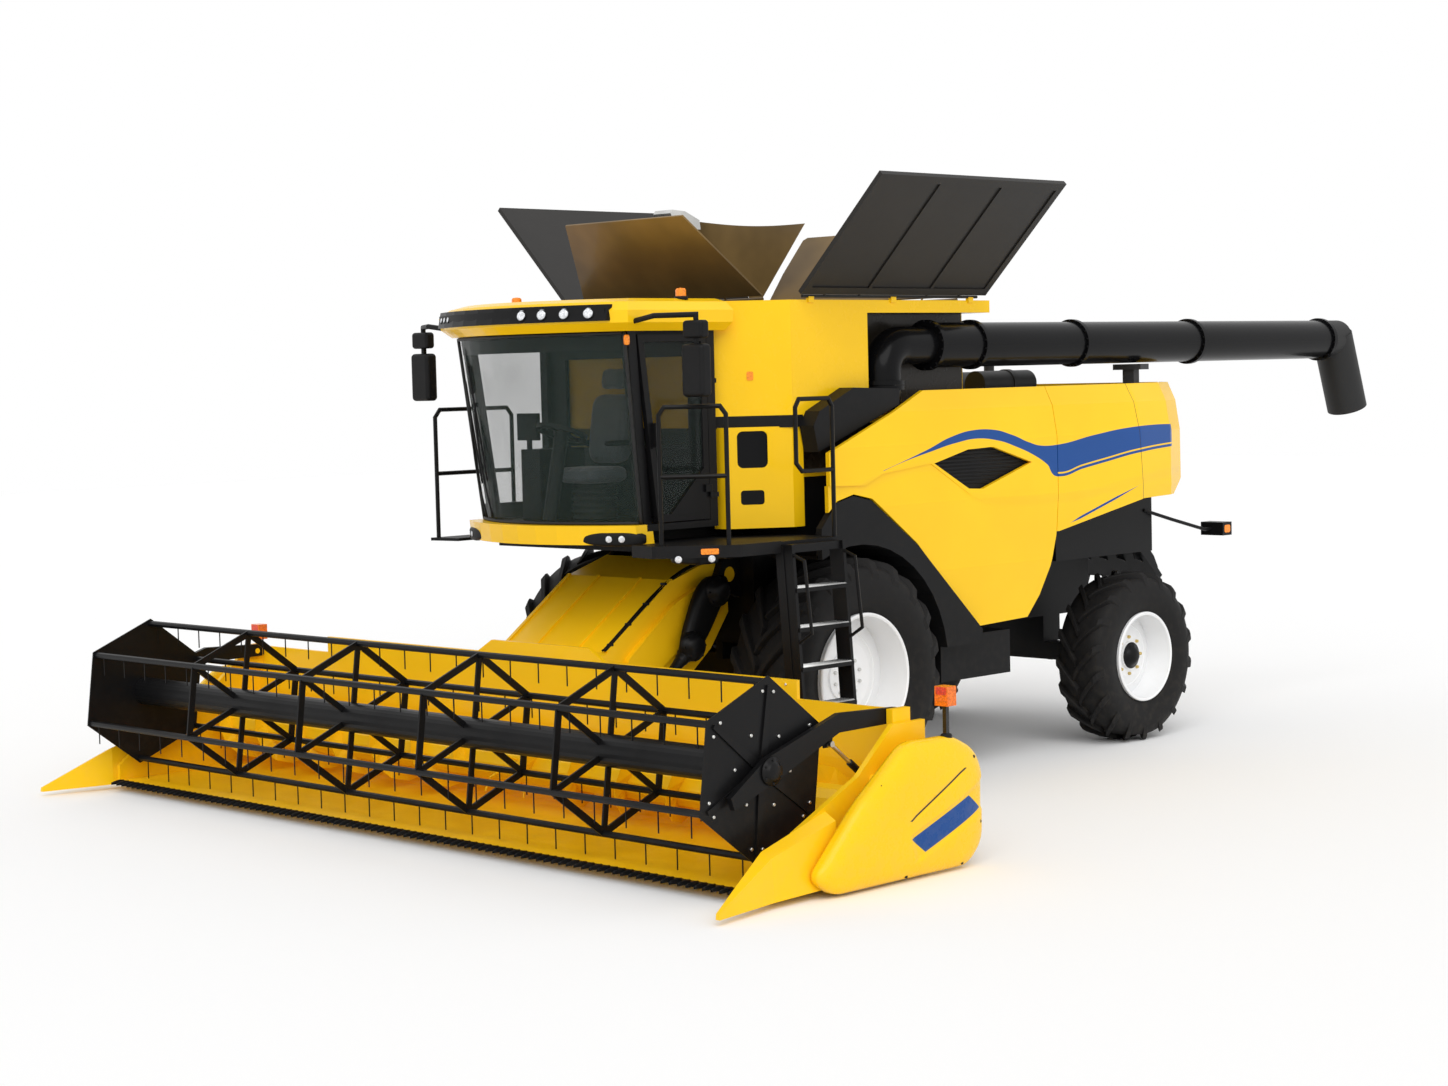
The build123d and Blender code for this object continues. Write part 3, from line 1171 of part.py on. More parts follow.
def header_frame():
    """Back wall, trough, end sheets and skids of the grain header."""
    t = SHEET
    trough = []
    for k in range(9):
        a = radians(180 + 90 * k / 8)
        trough.append((AUGER_X + (AUGER_R + 40) * cos(a), AUGER_Z + (AUGER_R + 40) * sin(a)))
    inner = [(HEADER_BACK_X + t, HEADER_TOP_Z), (HEADER_BACK_X + t, 700)] + trough + [(2500, 92),
                                                                                      (2700, 75),
                                                                                      (KNIFE_X, KNIFE_Z)]
    outer = [(KNIFE_X, KNIFE_Z - 20), (2700, 45), (2300, 55), (2050, 140), (HEADER_BACK_X, 320),
             (HEADER_BACK_X, HEADER_TOP_Z)]
    pan = side_prism(inner + outer, -HEADER_HALF, HEADER_HALF)
    for side in (1, -1):
        pan -= box(HEADER_BACK_X - 10, HEADER_BACK_X + t + 10, side * WALL_FULL_HALF,
                   side * (HEADER_HALF + 10),
                   HEADER_TOP_Z - WALL_DROP, HEADER_TOP_Z + 10)
    crest = cross_prism([(-740, HEADER_TOP_Z - 5), (-560, HEADER_TOP_Z + 95), (560, HEADER_TOP_Z + 95),
                         (740, HEADER_TOP_Z - 5)], HEADER_BACK_X, HEADER_BACK_X + t)
    lip = side_prism([(HEADER_BACK_X, HEADER_TOP_Z), (HEADER_BACK_X, HEADER_TOP_Z - 60),
                      (HEADER_BACK_X - 80, HEADER_TOP_Z - 90),
                      (HEADER_BACK_X - 80, HEADER_TOP_Z - 30)], FEEDER_HALF + 100, WALL_FULL_HALF - 400)
    ends = []
    for side in (1, -1):
        y0 = side * HEADER_HALF
        y1 = side * (HEADER_HALF + 40)
        ends.append(side_prism([(HEADER_BACK_X - 100, 320), (HEADER_BACK_X - 100, 1000), (2150, 1000),
                                (2500, 700), (3100, 420),
                                (KNIFE_X, 200), (KNIFE_X, 50), (2200, 45)], y0, y1))
    skids = [box(2150, 2950, side * y - 90, side * y + 90, 0, 60) for y in SKIDS_Y for side in (1, -1)]
    heel = side_prism([(2100, 0), (3000, 0), (3000, 60), (2150, 60)], -HEADER_HALF, HEADER_HALF)
    skids = [skid & heel for skid in skids]
    ribs = []
    for k in range(4):
        y = FEEDER_HALF + 450 + (HEADER_HALF - FEEDER_HALF - 900) * k / 3
        ribs += pair(side_prism([(HEADER_BACK_X + 1, 1050), (HEADER_BACK_X - WALL_RIB, 1000),
                                 (HEADER_BACK_X - WALL_RIB, 420), (HEADER_BACK_X + 1, 340)], y - 6, y + 6))
    bearings = [rod((AUGER_X, side * (HEADER_HALF - 30), AUGER_Z),
                    (AUGER_X, side * HEADER_HALF, AUGER_Z), 90) for side in (1, -1)]
    reach = HEADER_HALF + 500
    bores = rod((AUGER_X, -reach, AUGER_Z), (AUGER_X, reach, AUGER_Z), 40 + SHAFT_GAP)
    pins = [rod((ARM_PIVOT_X, side * (ARM_Y - 4), ARM_PIVOT_Z),
                (ARM_PIVOT_X, side * HEADER_HALF, ARM_PIVOT_Z), 22) for side in (1, -1)]
    posts = [side_prism([(HEADER_BACK_X, 900), (HEADER_BACK_X, 1090), (2110, 1090), (2110, 900)],
                        side * (ARM_Y + ARM_T + SLIP_GAP),
                        side * HEADER_HALF) for side in (1, -1)]
    ax, az = REEL_LIFT_A
    ears = [rod((ax, side * (ARM_Y + ARM_T / 2 - 10), az), (ax, side * HEADER_HALF, az), 14)
            for side in (1, -1)]
    return fuse(pan, crest, lip, ends, skids, ribs, bearings, posts, pins, ears) - bores


def cutterbar():
    """Knife beam with its row of pointed guards."""
    half = HEADER_HALF - 10
    count = int(2 * half / KNIFE_PITCH)
    start = -count * KNIFE_PITCH / 2
    points = [(KNIFE_X, half), (KNIFE_X, -half), (KNIFE_X + 40, -half)]
    for k in range(count):
        y = start + KNIFE_PITCH * k
        points += [(KNIFE_X + 40, y + 16), (KNIFE_X + GUARD_LEN + 40, y + KNIFE_PITCH / 2),
                   (KNIFE_X + 40, y + KNIFE_PITCH - 16)]
    points.append((KNIFE_X + 40, half))
    return plan_prism(points, KNIFE_Z - 20, KNIFE_Z)


def dividers():
    """Pointed crop dividers at both ends of the header."""
    y0 = HEADER_HALF + 40
    rear = [(2820, y0, 60), (2820, SHIELD_Y0 - 10, 60), (2820, SHIELD_Y0 - 40, 470), (2820, y0, 520)]
    tip = [(DIVIDER_TIP_X, DIVIDER_TIP_Y - 34, 40), (DIVIDER_TIP_X, DIVIDER_TIP_Y, 40),
           (DIVIDER_TIP_X, DIVIDER_TIP_Y - 8, 74),
           (DIVIDER_TIP_X, DIVIDER_TIP_Y - 30, 78)]
    mid = [(KNIFE_X + 40, y0, 45), (KNIFE_X + 40, SHIELD_Y0 - 10, 45),
           (KNIFE_X + 40, SHIELD_Y0 - 30, 320), (KNIFE_X + 40, y0 + 10, 350)]
    faces = [make_face(Polyline(*points, close=True)) for points in (rear, mid, tip)]
    return group(pair(loft(faces, ruled=True)))


def shield_point(x, y, z, size):
    """A point of the end shield's outline drawn towards its middle."""
    middle_x, middle_z = SHIELD_MIDDLE
    return (middle_x + (x - middle_x) * size, y, middle_z + (z - middle_z) * size)


def end_shields():
    """Bulged drive covers on both ends of the header."""
    inner = [(3140, 150), (2960, 20), (1640, 20), (1490, 160), (1480, 640), (1560, 790), (1780, 900),
             (2250, 905), (2720, 560)]
    faces = []
    for out, size in ((0, 1.0), (0.5, 1.0), (0.82, 0.965), (1.0, 0.9)):
        y = SHIELD_Y0 + (SHIELD_Y1 - SHIELD_Y0) * out
        face = make_face(Polyline(*[shield_point(x, y, z, size) for x, z in inner], close=True))
        faces.append(fillet(face.vertices(), SHIELD_CORNER_R * size))
    shell = loft(faces, ruled=True)
    spacer = box(1900, 2400, HEADER_HALF + 40, SHIELD_Y0, 150, 700)
    return group(pair(fuse(shell, spacer)))


def marker_lamps():
    """Warning lamps on stalks over the header's ends."""
    stalk = box(1800, 1830, SHIELD_Y0 + 20, SHIELD_Y0 + 50, 860, 1110)
    head = box(1770, 1860, SHIELD_Y0 - 20, SHIELD_Y0 + 90, 1100, 1230)
    return group(pair(fuse(stalk, head) - end_shields()))


def helix_flight(y0, y1, hand):
    """Thin helical flight built from flat facets, about the table auger's axis."""
    steps = int(abs(y1 - y0) / AUGER_PITCH * AUGER_SIDES)
    thick = 8
    inner_r = AUGER_CORE_R + 0.4
    rows = []
    for k in range(steps + 1):
        a = 2 * pi * k / AUGER_SIDES * hand
        y = y0 + (y1 - y0) * k / steps
        ring = []
        for radius, shift in ((inner_r, 0), (AUGER_R, 0), (AUGER_R, thick), (inner_r, thick)):
            ring.append((AUGER_X + radius * cos(a), y + shift, AUGER_Z + radius * sin(a)))
        rows.append(ring)
    faces = []

    def add(*points):
        faces.append(Face(Wire.make_polygon([Vector(*p) for p in points])))

    for a, b in zip(rows, rows[1:]):
        add(a[0], a[1], b[1])
        add(a[0], b[1], b[0])
        add(a[2], a[3], b[3])
        add(a[2], b[3], b[2])
        add(a[1], a[2], b[2], b[1])
        add(a[3], a[0], b[0], b[3])
    add(*rows[0])
    add(*rows[-1])
    return Solid(Shell(faces))


def table_auger():
    """Table auger with two opposite flights that feed to the middle."""
    core = Pos(AUGER_X, 0, AUGER_Z) * sided_y(AUGER_CORE_R, -AUGER_HALF, AUGER_HALF, AUGER_SIDES)
    stubs = [rod((AUGER_X, side * (AUGER_HALF - 2), AUGER_Z),
                 (AUGER_X, side * (HEADER_HALF + 20), AUGER_Z), 40) for side in (1, -1)]
    left = helix_flight(FLIGHT_START, AUGER_HALF - 10, 1)
    right = helix_flight(-FLIGHT_START, -AUGER_HALF + 2, 1)
    return group(fuse(core, stubs, auger_fingers()), left, right)


def auger_fingers():
    """Rods round the middle of the table auger that draw the crop into the feeder."""
    rods = []
    for k in range(FINGERS):
        y = (FLIGHT_START - 60) * (2 * k / (FINGERS - 1) - 1)
        a = radians(100 * k)
        root = (AUGER_X + (AUGER_CORE_R - 20) * cos(a), y, AUGER_Z + (AUGER_CORE_R - 20) * sin(a))
        tip = (AUGER_X + (AUGER_R - 12) * cos(a), y, AUGER_Z + (AUGER_R - 12) * sin(a))
        rods.append(rod(root, tip, FINGER_R))
    return rods


def sided_y(radius, y0, y1, sides):
    """Many-sided bar along Y whose corners start on the X axis."""
    points = [(radius * cos(2 * pi * k / sides), y0, radius * sin(2 * pi * k / sides)) for k in range(sides)]
    return prism(points, (0, y1 - y0, 0))


def reel_corner(k, radius=REEL_R):
    """A corner of the reel's hexagon, as x and z."""
    a = radians(90 + REEL_TURN_DEG + 60 * k)
    return REEL_X + radius * cos(a), REEL_Z + radius * sin(a)


def reel_spider(y):
    """Six-sided ring with spokes that carries the bats."""
    outer = side_prism([reel_corner(k, REEL_R + 24) for k in range(6)], y - 8, y + 8)
    outer -= side_prism([reel_corner(k, REEL_R - 34) for k in range(6)], y - 9, y + 9)
    spokes = []
    for k in range(6):
        x, z = reel_corner(k, REEL_R - 10)
        a = atan2(z - REEL_Z, x - REEL_X)
        nx, nz = -sin(a) * 22, cos(a) * 22
        base_x, base_z = REEL_X + 60 * cos(a), REEL_Z + 60 * sin(a)
        spokes.append(side_prism([(base_x + nx, base_z + nz), (x + nx, z + nz), (x - nx, z - nz),
                                  (base_x - nx, base_z - nz)],
                                 y - 8, y + 8))
    return fuse(outer, spokes)


def bat(k):
    """One bat tube with its comb of hanging tines."""
    x, z = reel_corner(k)
    tube = Pos(x, 0, z) * sided_y(BAT_R, -REEL_HALF + 5, REEL_HALF - 5, 8)
    pitch = 2 * (REEL_HALF - 120) / (TINES_A_BAT - 1)
    points = [(-REEL_HALF + 60, z + 5), (-REEL_HALF + 60, z - 5)]
    for n in range(TINES_A_BAT):
        y = -REEL_HALF + 120 + pitch * n
        points += [(y - TINE / 2, z - 5), (y - TINE / 2, z - TINE_LEN), (y + TINE / 2, z - TINE_LEN),
                   (y + TINE / 2, z - 5)]
    points += [(REEL_HALF - 60, z - 5), (REEL_HALF - 60, z + 5)]
    comb = cross_prism(points, x - TINE / 2, x + TINE / 2)
    return tube + comb


def plate_rib(k, y0, y1):
    """Pressed rib from the middle of a reel end plate to one corner."""
    x, z = reel_corner(k, REEL_R - 20)
    a = atan2(z - REEL_Z, x - REEL_X)
    nx, nz = -sin(a), cos(a)
    near_x, near_z = REEL_X + 40 * cos(a), REEL_Z + 40 * sin(a)
    return side_prism([(near_x + 34 * nx, near_z + 34 * nz), (x + 14 * nx, z + 14 * nz),
                       (x - 14 * nx, z - 14 * nz),
                       (near_x - 34 * nx, near_z - 34 * nz)], y0, y1)


def reel():
    """Six-sided tined reel on a centre tube."""
    tube = Pos(REEL_X, 0, REEL_Z) * sided_y(REEL_TUBE_R, -REEL_HALF, REEL_HALF, 24)
    shaft = rod((REEL_X, -ARM_Y - ARM_T - 4, REEL_Z), (REEL_X, ARM_Y + ARM_T + 4, REEL_Z), REEL_SHAFT_R)
    plates = [side_prism([reel_corner(k, REEL_R + 40) for k in range(6)], side * (REEL_HALF - 12),
                         side * REEL_HALF) for side in (1, -1)]
    ribs = []
    for side in (1, -1):
        for k in range(6):
            ribs.append(plate_rib(k, side * (REEL_HALF - 2), side * (REEL_HALF + PLATE_RIB)))
    spiders = [reel_spider(2 * REEL_HALF * (k / 5 - 0.5)) for k in range(1, 5)]
    bats = [bat(k) for k in range(6)]
    return fuse(tube, shaft, plates, ribs, spiders, bats)


def reel_arms():
    """Bent arms that carry the reel, one at each end."""
    outline = [(ARM_PIVOT_X - 50, ARM_PIVOT_Z - 45), (ARM_PIVOT_X - 50, ARM_PIVOT_Z + 55), (2560, 1110),
               (3240, 900), (3560, 690),
               (3530, 610), (REEL_X - 30, REEL_Z - 75), (2560, 985)]
    bx, bz = REEL_LIFT_B
    y0, y1 = ARM_Y, ARM_Y + ARM_T
    arm = side_prism(outline, y0, y1)
    ear = side_prism([(bx - 40, bz - 25), (bx + 40, bz - 25), (bx + 60, bz + 110), (bx - 60, bz + 110)],
                     y0 - 1, y0 + 8)
    arm = fuse(arm, ear & box(bx - 100, bx + 100, y0, y0 + 8, 0, 2000))
    bores = [rod((REEL_X, y0 - 50, REEL_Z), (REEL_X, y1 + 50, REEL_Z), REEL_SHAFT_R + SHAFT_GAP),
             rod((ARM_PIVOT_X, y0 - 50, ARM_PIVOT_Z), (ARM_PIVOT_X, y1 + 50, ARM_PIVOT_Z), 22 + SHAFT_GAP)]
    return group(pair(arm - bores))


def cylinder_parts(a, b, y, radius, rod_r, eye_r, pin_r, length):
    """Barrel with its pin eye and a rod with its own eye, between a and b."""
    dx, dz = b[0] - a[0], b[1] - a[1]
    full = hypot(dx, dz)
    ux, uz = dx / full, dz / full

    def at(s):
        return (a[0] + ux * s, y, a[1] + uz * s)

    barrel = rod(at(20), at(length), radius)
    barrel = fuse(barrel, rod((a[0], y - radius - 2, a[1]), (a[0], y + radius + 2, a[1]), eye_r))
    barrel -= rod((a[0], y - radius - 50, a[1]), (a[0], y + radius + 50, a[1]), pin_r + SHAFT_GAP)
    barrel -= rod(at(eye_r + 40), at(length + 50), rod_r + SHAFT_GAP)
    stem = rod(at(eye_r + 60), at(full), rod_r)
    stem = fuse(stem, rod((b[0], y - rod_r - 3, b[1]), (b[0], y + rod_r + 3, b[1]), rod_r * 1.4))
    return barrel, stem


def lift_barrels():
    """Barrels of the header lift cylinders."""
    return group(pair(cylinder_parts(LIFT_A, LIFT_B, LIFT_Y, LIFT_R, LIFT_ROD_R, 66, 20, 1000)[0]))


def lift_rods():
    """Rods of the header lift cylinders."""
    return group(pair(cylinder_parts(LIFT_A, LIFT_B, LIFT_Y, LIFT_R, LIFT_ROD_R, 66, 20, 1000)[1]))


def reel_lift_parts():
    """Barrel and rod of the left reel lift cylinder."""
    y = ARM_Y + ARM_T / 2 + 14
    return cylinder_parts(REEL_LIFT_A, REEL_LIFT_B, y, REEL_LIFT_R, REEL_LIFT_ROD_R, 30, 14, 480)


def reel_lift_barrels():
    """Barrels of the reel lift cylinders."""
    return group(pair(reel_lift_parts()[0]))


def reel_lift_rods():
    """Rods of the reel lift cylinders."""
    return group(pair(reel_lift_parts()[1]))


NODES = [main_frame, threshing_body, front_axle, rear_axle, engine_block, engine_deck, tail_hood,
         dark_side_skins,
         front_wall_panels, grain_tank, unloader_base, cab_shell, cab_glass, cab_sill, cab_roof,
         cab_seat, cab_controls,
         work_lamps, beacons, mirrors, platform, handrails, ladder, side_boxes, straw_chopper,
         front_tyre_left,
         front_rim_left, front_tyre_right, front_rim_right, knuckle_left, knuckle_right, tie_rod,
         rear_tyre_left,
         rear_rim_left, rear_tyre_right, rear_rim_right, feeder_house, header_frame, cutterbar, dividers,
         end_shields,
         marker_lamps, table_auger, reel_arms, reel, lift_barrels, lift_rods, reel_lift_barrels,
         reel_lift_rods,
         unloader_tube, unloader_spout, tank_cover_left, tank_cover_right, tank_flap_front,
         tank_flap_rear, filling_auger,
         door_frame, door_glass, side_panel_left, side_panel_right]


def main():
    """Writes every node as a STEP file, moved into the shared frame."""
    os.makedirs("parts", exist_ok=True)
    for node in NODES:
        export_step(Pos(X_SHIFT, 0, 0) * node(), "parts/" + node.__name__ + ".step")


if __name__ == "__main__":
    main()
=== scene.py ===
import bmesh
import bpy
import numpy as np
from mathutils import Matrix, Vector


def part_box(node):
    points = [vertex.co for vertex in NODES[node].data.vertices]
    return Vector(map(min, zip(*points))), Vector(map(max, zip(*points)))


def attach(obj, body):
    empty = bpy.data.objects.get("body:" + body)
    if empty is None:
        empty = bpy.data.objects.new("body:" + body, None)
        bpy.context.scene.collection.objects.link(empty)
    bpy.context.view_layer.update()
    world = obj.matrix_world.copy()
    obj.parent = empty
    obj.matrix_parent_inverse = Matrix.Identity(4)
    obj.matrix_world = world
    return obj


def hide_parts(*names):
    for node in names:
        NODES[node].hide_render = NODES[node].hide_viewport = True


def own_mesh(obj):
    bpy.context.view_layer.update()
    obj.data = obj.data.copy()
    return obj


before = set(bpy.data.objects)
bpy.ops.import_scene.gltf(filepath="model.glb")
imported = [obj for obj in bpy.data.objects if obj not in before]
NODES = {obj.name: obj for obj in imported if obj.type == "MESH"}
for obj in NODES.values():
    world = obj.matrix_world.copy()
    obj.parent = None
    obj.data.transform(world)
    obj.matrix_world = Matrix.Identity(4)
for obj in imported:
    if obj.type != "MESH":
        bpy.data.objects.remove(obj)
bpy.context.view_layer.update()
TAU = 2 * np.pi
UP, ALONG = (0, 0, 1), (0, 1, 0)
SIDES = ((1, "left"), (-1, "right"))

# The front axle stands at x = 0 in the measured sizes below; AXLE_X moves them into the shared frame.
tyre_low, tyre_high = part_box("front_tyre_left")
AXLE_X = (tyre_low[0] + tyre_high[0]) / 2


# Surfaces


def surface(name, points, wrap="v", smooth=True):
    """Mesh from a grid of points, shape (copies, u, v, 3): each grid cell becomes one quad,
    and a direction named in wrap joins its last row to its first."""
    points = np.asarray(points, float)
    grid = points.reshape((-1,) + points.shape[-3:])
    copies, nu, nv, _ = grid.shape
    iu = np.arange(nu if "u" in wrap else nu - 1)
    iv = np.arange(nv if "v" in wrap else nv - 1)
    u, v = np.meshgrid(iu, iv, indexing="ij")
    u2, v2 = (u + 1) % nu, (v + 1) % nv
    quads = np.stack([u * nv + v, u2 * nv + v, u2 * nv + v2, u * nv + v2], -1).reshape(-1, 4)
    faces = (quads[None] + (np.arange(copies) * nu * nv)[:, None, None]).reshape(-1, 4)
    corners = grid.reshape(-1, 3) + np.array([AXLE_X, 0, 0])
    mesh = bpy.data.meshes.new(name)
    mesh.from_pydata(corners.tolist(), [], faces.tolist())
    mesh.validate()
    mesh.polygons.foreach_set("use_smooth", np.full(len(mesh.polygons), smooth))
    piece = bpy.data.objects.new(name, mesh)
    bpy.context.scene.collection.objects.link(piece)
    return piece


def joined(name, pieces):
    """One piece from several: their meshes are put end to end in one mesh."""
    with bpy.context.temp_override(active_object=pieces[0], selected_editable_objects=pieces):
        bpy.ops.object.join()
    pieces[0].name = name
    return pieces[0]


def outward(piece):
    """Merges doubled points and turns every face outwards."""
    work = bmesh.new()
    work.from_mesh(piece.data)
    bmesh.ops.remove_doubles(work, verts=work.verts, dist=1e-6)
    bmesh.ops.dissolve_degenerate(work, edges=work.edges, dist=1e-7)
    bmesh.ops.recalc_face_normals(work, faces=work.faces)
    work.to_mesh(piece.data)
    work.free()
    return piece



def dress(piece, body, finish, *replaced):
    """Gives a piece its finish and that finish's slot, the body it rides on and the nodes it stands for."""
    outward(piece)
    piece.data.materials.clear()
    piece.data.materials.append(finish)
    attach(piece, body)
    if replaced:
        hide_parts(*replaced)
    return piece


def add(name, points, body, finish, *replaced, **form):
    """Makes a surface of the given form and dresses it."""
    return dress(surface(name, points, **form), body, finish, *replaced)


def mirrored(make):
    """Left and right copies of what is made for a side of 1 or -1."""
    return np.stack([make(side) for side, _ in SIDES])


def bent(value, power):
    """Sine or cosine made fuller: its size raised to 2 over the power, its sign kept."""
    return np.sign(value) * np.abs(value) ** (2 / power)


def closed_ends(rows):
    """Adds a row at each end of a grid, drawn together to that end row's middle."""
    first, last = (np.broadcast_to(row.mean(-2, keepdims=True), row.shape)
                   for row in (rows[..., :1, :, :], rows[..., -1:, :, :]))
    return np.concatenate([first, rows, last], -3)


def eased(points, rounds=3):
    """Rounds a path's corners: each round puts points a quarter and three quarters along every run."""
    path = np.asarray(points, float)
    for _ in range(rounds):
        near = path[:-1] * 0.75 + path[1:] * 0.25
        far = path[:-1] * 0.25 + path[1:] * 0.75
        path = np.concatenate([path[:1], np.stack([near, far], 1).reshape(-1, 3), path[-1:]])
    return path


def tube(path, radius, sides=10):
    """Round profile carried along a path: centre + radius (cos a times one normal + sin a times the other),
    with the ends drawn to a point."""
    path = np.asarray(path, float)
    along = np.gradient(path, axis=0)
    along /= np.linalg.norm(along, axis=1, keepdims=True)
    guide = np.where(np.abs(along[:, 2:]) > 0.9, np.array([[1.0, 0, 0]]), np.array([[0, 0, 1.0]]))
    if np.abs(along[:, 2]).max() > 0.9:
        guide = np.broadcast_to(np.array([[0.12, 0.99, 0.05]]), along.shape)
    one = np.cross(along, guide)
    one /= np.linalg.norm(one, axis=1, keepdims=True)
    two = np.cross(along, one)
    angle = np.linspace(0, TAU, sides, endpoint=False)
    ring = np.cos(angle)[None, :, None] * one[:, None] + np.sin(angle)[None, :, None] * two[:, None]
    reach = np.broadcast_to(np.asarray(radius, float), (len(path),))[:, None, None]
    body = path[:, None] + reach * ring
    first = np.broadcast_to(path[0], (1, sides, 3))
    last = np.broadcast_to(path[-1], (1, sides, 3))
    return np.concatenate([first, body, last])


def lathe(profile, centre, axis="y", steps=64, arc=(0, TAU)):
    """Profile of (radius, along) turned about an axis through a centre."""
    profile = np.asarray(profile, float)
    whole = abs(arc[1] - arc[0] - TAU) < 1e-9
    angle = np.linspace(arc[0], arc[1], steps, endpoint=not whole)[:, None]
    a, b = profile[None, :, 0] * np.cos(angle), profile[None, :, 0] * np.sin(angle)
    along = np.broadcast_to(profile[None, :, 1], a.shape)
    order = {"x": (along, a, b), "y": (b, along, a), "z": (a, b, along)}[axis]
    return np.stack(order, -1) + np.asarray(centre, float)


def pebble(centre, half, power=5.0, steps=(14, 24)):
    """Rounded box: a ball whose sines and cosines are bent by a power, stretched to the half sizes."""
    up = np.linspace(-np.pi / 2, np.pi / 2, steps[0])[:, None]
    turn = np.linspace(0, TAU, steps[1], endpoint=False)[None, :]
    x = bent(np.cos(up), power) * bent(np.cos(turn), power)
    y = bent(np.cos(up), power) * bent(np.sin(turn), power)
    z = bent(np.sin(up), power) * np.ones_like(turn)
    return np.stack([x, y, z], -1) * np.asarray(half, float) + np.asarray(centre, float)


def studs(places, way, radius, height, sides=6):
    """Bolt heads at many places: a ring at the foot, a ring at the top and a point in the top's middle."""
    way = np.asarray(way, float) / np.linalg.norm(way)
    side = np.cross(way, [0.0, 0.0, 1.0] if abs(way[2]) < 0.9 else [1.0, 0.0, 0.0])
    side /= np.linalg.norm(side)
    other = np.cross(way, side)
    angle = np.linspace(0, TAU, sides, endpoint=False)
    ring = np.cos(angle)[:, None] * side + np.sin(angle)[:, None] * other
    rows = [0 * ring - way * 0.001, ring * radius - way * 0.001, ring * radius + way * height * 0.8,
            ring * radius * 0.85 + way * height, 0 * ring + way * height]
    return np.asarray(places, float)[:, None, None] + np.stack(rows)[None]


def slab(outline, shift):
    """Flat plate: an outline in space repeated at a shift, with both faces fanned to their middles."""
    outline = np.asarray(outline, float)
    far = outline + np.asarray(shift, float)
    middle = np.broadcast_to(outline.mean(0), outline.shape)
    return np.stack([middle, outline, far, middle + np.asarray(shift, float)])


def turned(profile, place, way, steps=32):
    """Profile of (radius, along) turned about any direction through a place."""
    way = np.asarray(way, float) / np.linalg.norm(way)
    side = np.cross(way, [0.0, 0.0, 1.0] if abs(way[2]) < 0.9 else [1.0, 0.0, 0.0])
    side /= np.linalg.norm(side)
    angle = np.linspace(0, TAU, steps, endpoint=False)[:, None, None]
    ring = np.cos(angle) * side + np.sin(angle) * np.cross(way, side)
    profile = np.asarray(profile, float)
    return np.asarray(place, float) + profile[None, :, :1] * ring + profile[None, :, 1:] * way


def rounded(wide, high, corner, centre, one, two, steps=6):
    """Rounded rectangle: quarter circles about four inner corners, along two directions from a centre."""
    quarter = np.linspace(0, np.pi / 2, steps)
    turn = (quarter[None] + np.arange(4)[:, None] * np.pi / 2).ravel()
    a = np.repeat([1, -1, -1, 1], steps) * (wide / 2 - corner) + corner * np.cos(turn)
    b = np.repeat([1, 1, -1, -1], steps) * (high / 2 - corner) + corner * np.sin(turn)
    return np.asarray(centre, float) + np.outer(a, one) + np.outer(b, two)


def strip(path, low, high, thick):
    """Upright band along a path in plan: two rows on the path, two moved sideways, ends drawn together."""
    path = np.asarray(path, float)
    along = np.gradient(path, axis=0)
    along /= np.linalg.norm(along, axis=1, keepdims=True)
    outer = path + np.stack([along[:, 1], -along[:, 0]], -1) * thick
    rows = [np.column_stack([line, np.full(len(path), z)])
            for line, z in ((path, low), (outer, low), (outer, high), (path, high))]
    return closed_ends(np.stack(rows, 1))


# Shader helpers


def feed(tree, made, values):
    """Links a node's inputs to sockets, and fills those that get a plain value."""
    for key, value in values.items():
        if isinstance(value, bpy.types.NodeSocket):
            tree.links.new(value, made.inputs[key])
        else:
            made.inputs[key].default_value = value


def node(tree, kind, values=None, **settings):
    """Adds a shader node, sets its properties and feeds its inputs."""
    made = tree.nodes.new(kind)
    for key, value in settings.items():
        setattr(made, key, value)
    feed(tree, made, values or {})
    return made


def calc(tree, operation, a, b=0.0, c=0.0):
    """One sum on two or three values."""
    return node(tree, "ShaderNodeMath", {0: a, 1: b, 2: c}, operation=operation).outputs[0]


def ramp(tree, value, low, high, to_low=0.0, to_high=1.0):
    """Smooth step of a value between two limits."""
    made = node(tree, "ShaderNodeMapRange", {"Value": value, "From Min": low, "From Max": high,
                                             "To Min": to_low, "To Max": to_high},
                interpolation_type="SMOOTHSTEP")
    return made.outputs[0]


def blend_colour(tree, share, first, second):
    """Mixes two colours by a share."""
    return node(tree, "ShaderNodeMix", {0: share, 6: first, 7: second}, data_type="RGBA").outputs[2]


def noise(tree, place, scale, detail, rough=0.5):
    """Noise of a scale at a place."""
    return node(tree, "ShaderNodeTexNoise", {"Vector": place, "Scale": scale, "Detail": detail,
                                             "Roughness": rough}).outputs[0]


def bumped(tree, height, strength, distance, below=None):
    """Normal bent by a height, over another bump where there is one below."""
    values = {"Height": height, "Strength": strength, "Distance": distance}
    if below:
        values["Normal"] = below
    return node(tree, "ShaderNodeBump", values).outputs[0]


def shader_group(name, inputs, outputs):
    """An empty node group with named sockets, its input sockets and its output node."""
    tree = bpy.data.node_groups.new(name, "ShaderNodeTree")
    for title, kind in inputs:
        tree.interface.new_socket(name=title, in_out="INPUT", socket_type=kind)
    for title, kind in outputs:
        tree.interface.new_socket(name=title, in_out="OUTPUT", socket_type=kind)
    return tree, tree.nodes.new("NodeGroupInput").outputs, tree.nodes.new("NodeGroupOutput")


VALUE, COLOUR, VECTOR = "NodeSocketFloat", "NodeSocketColor", "NodeSocketVector"


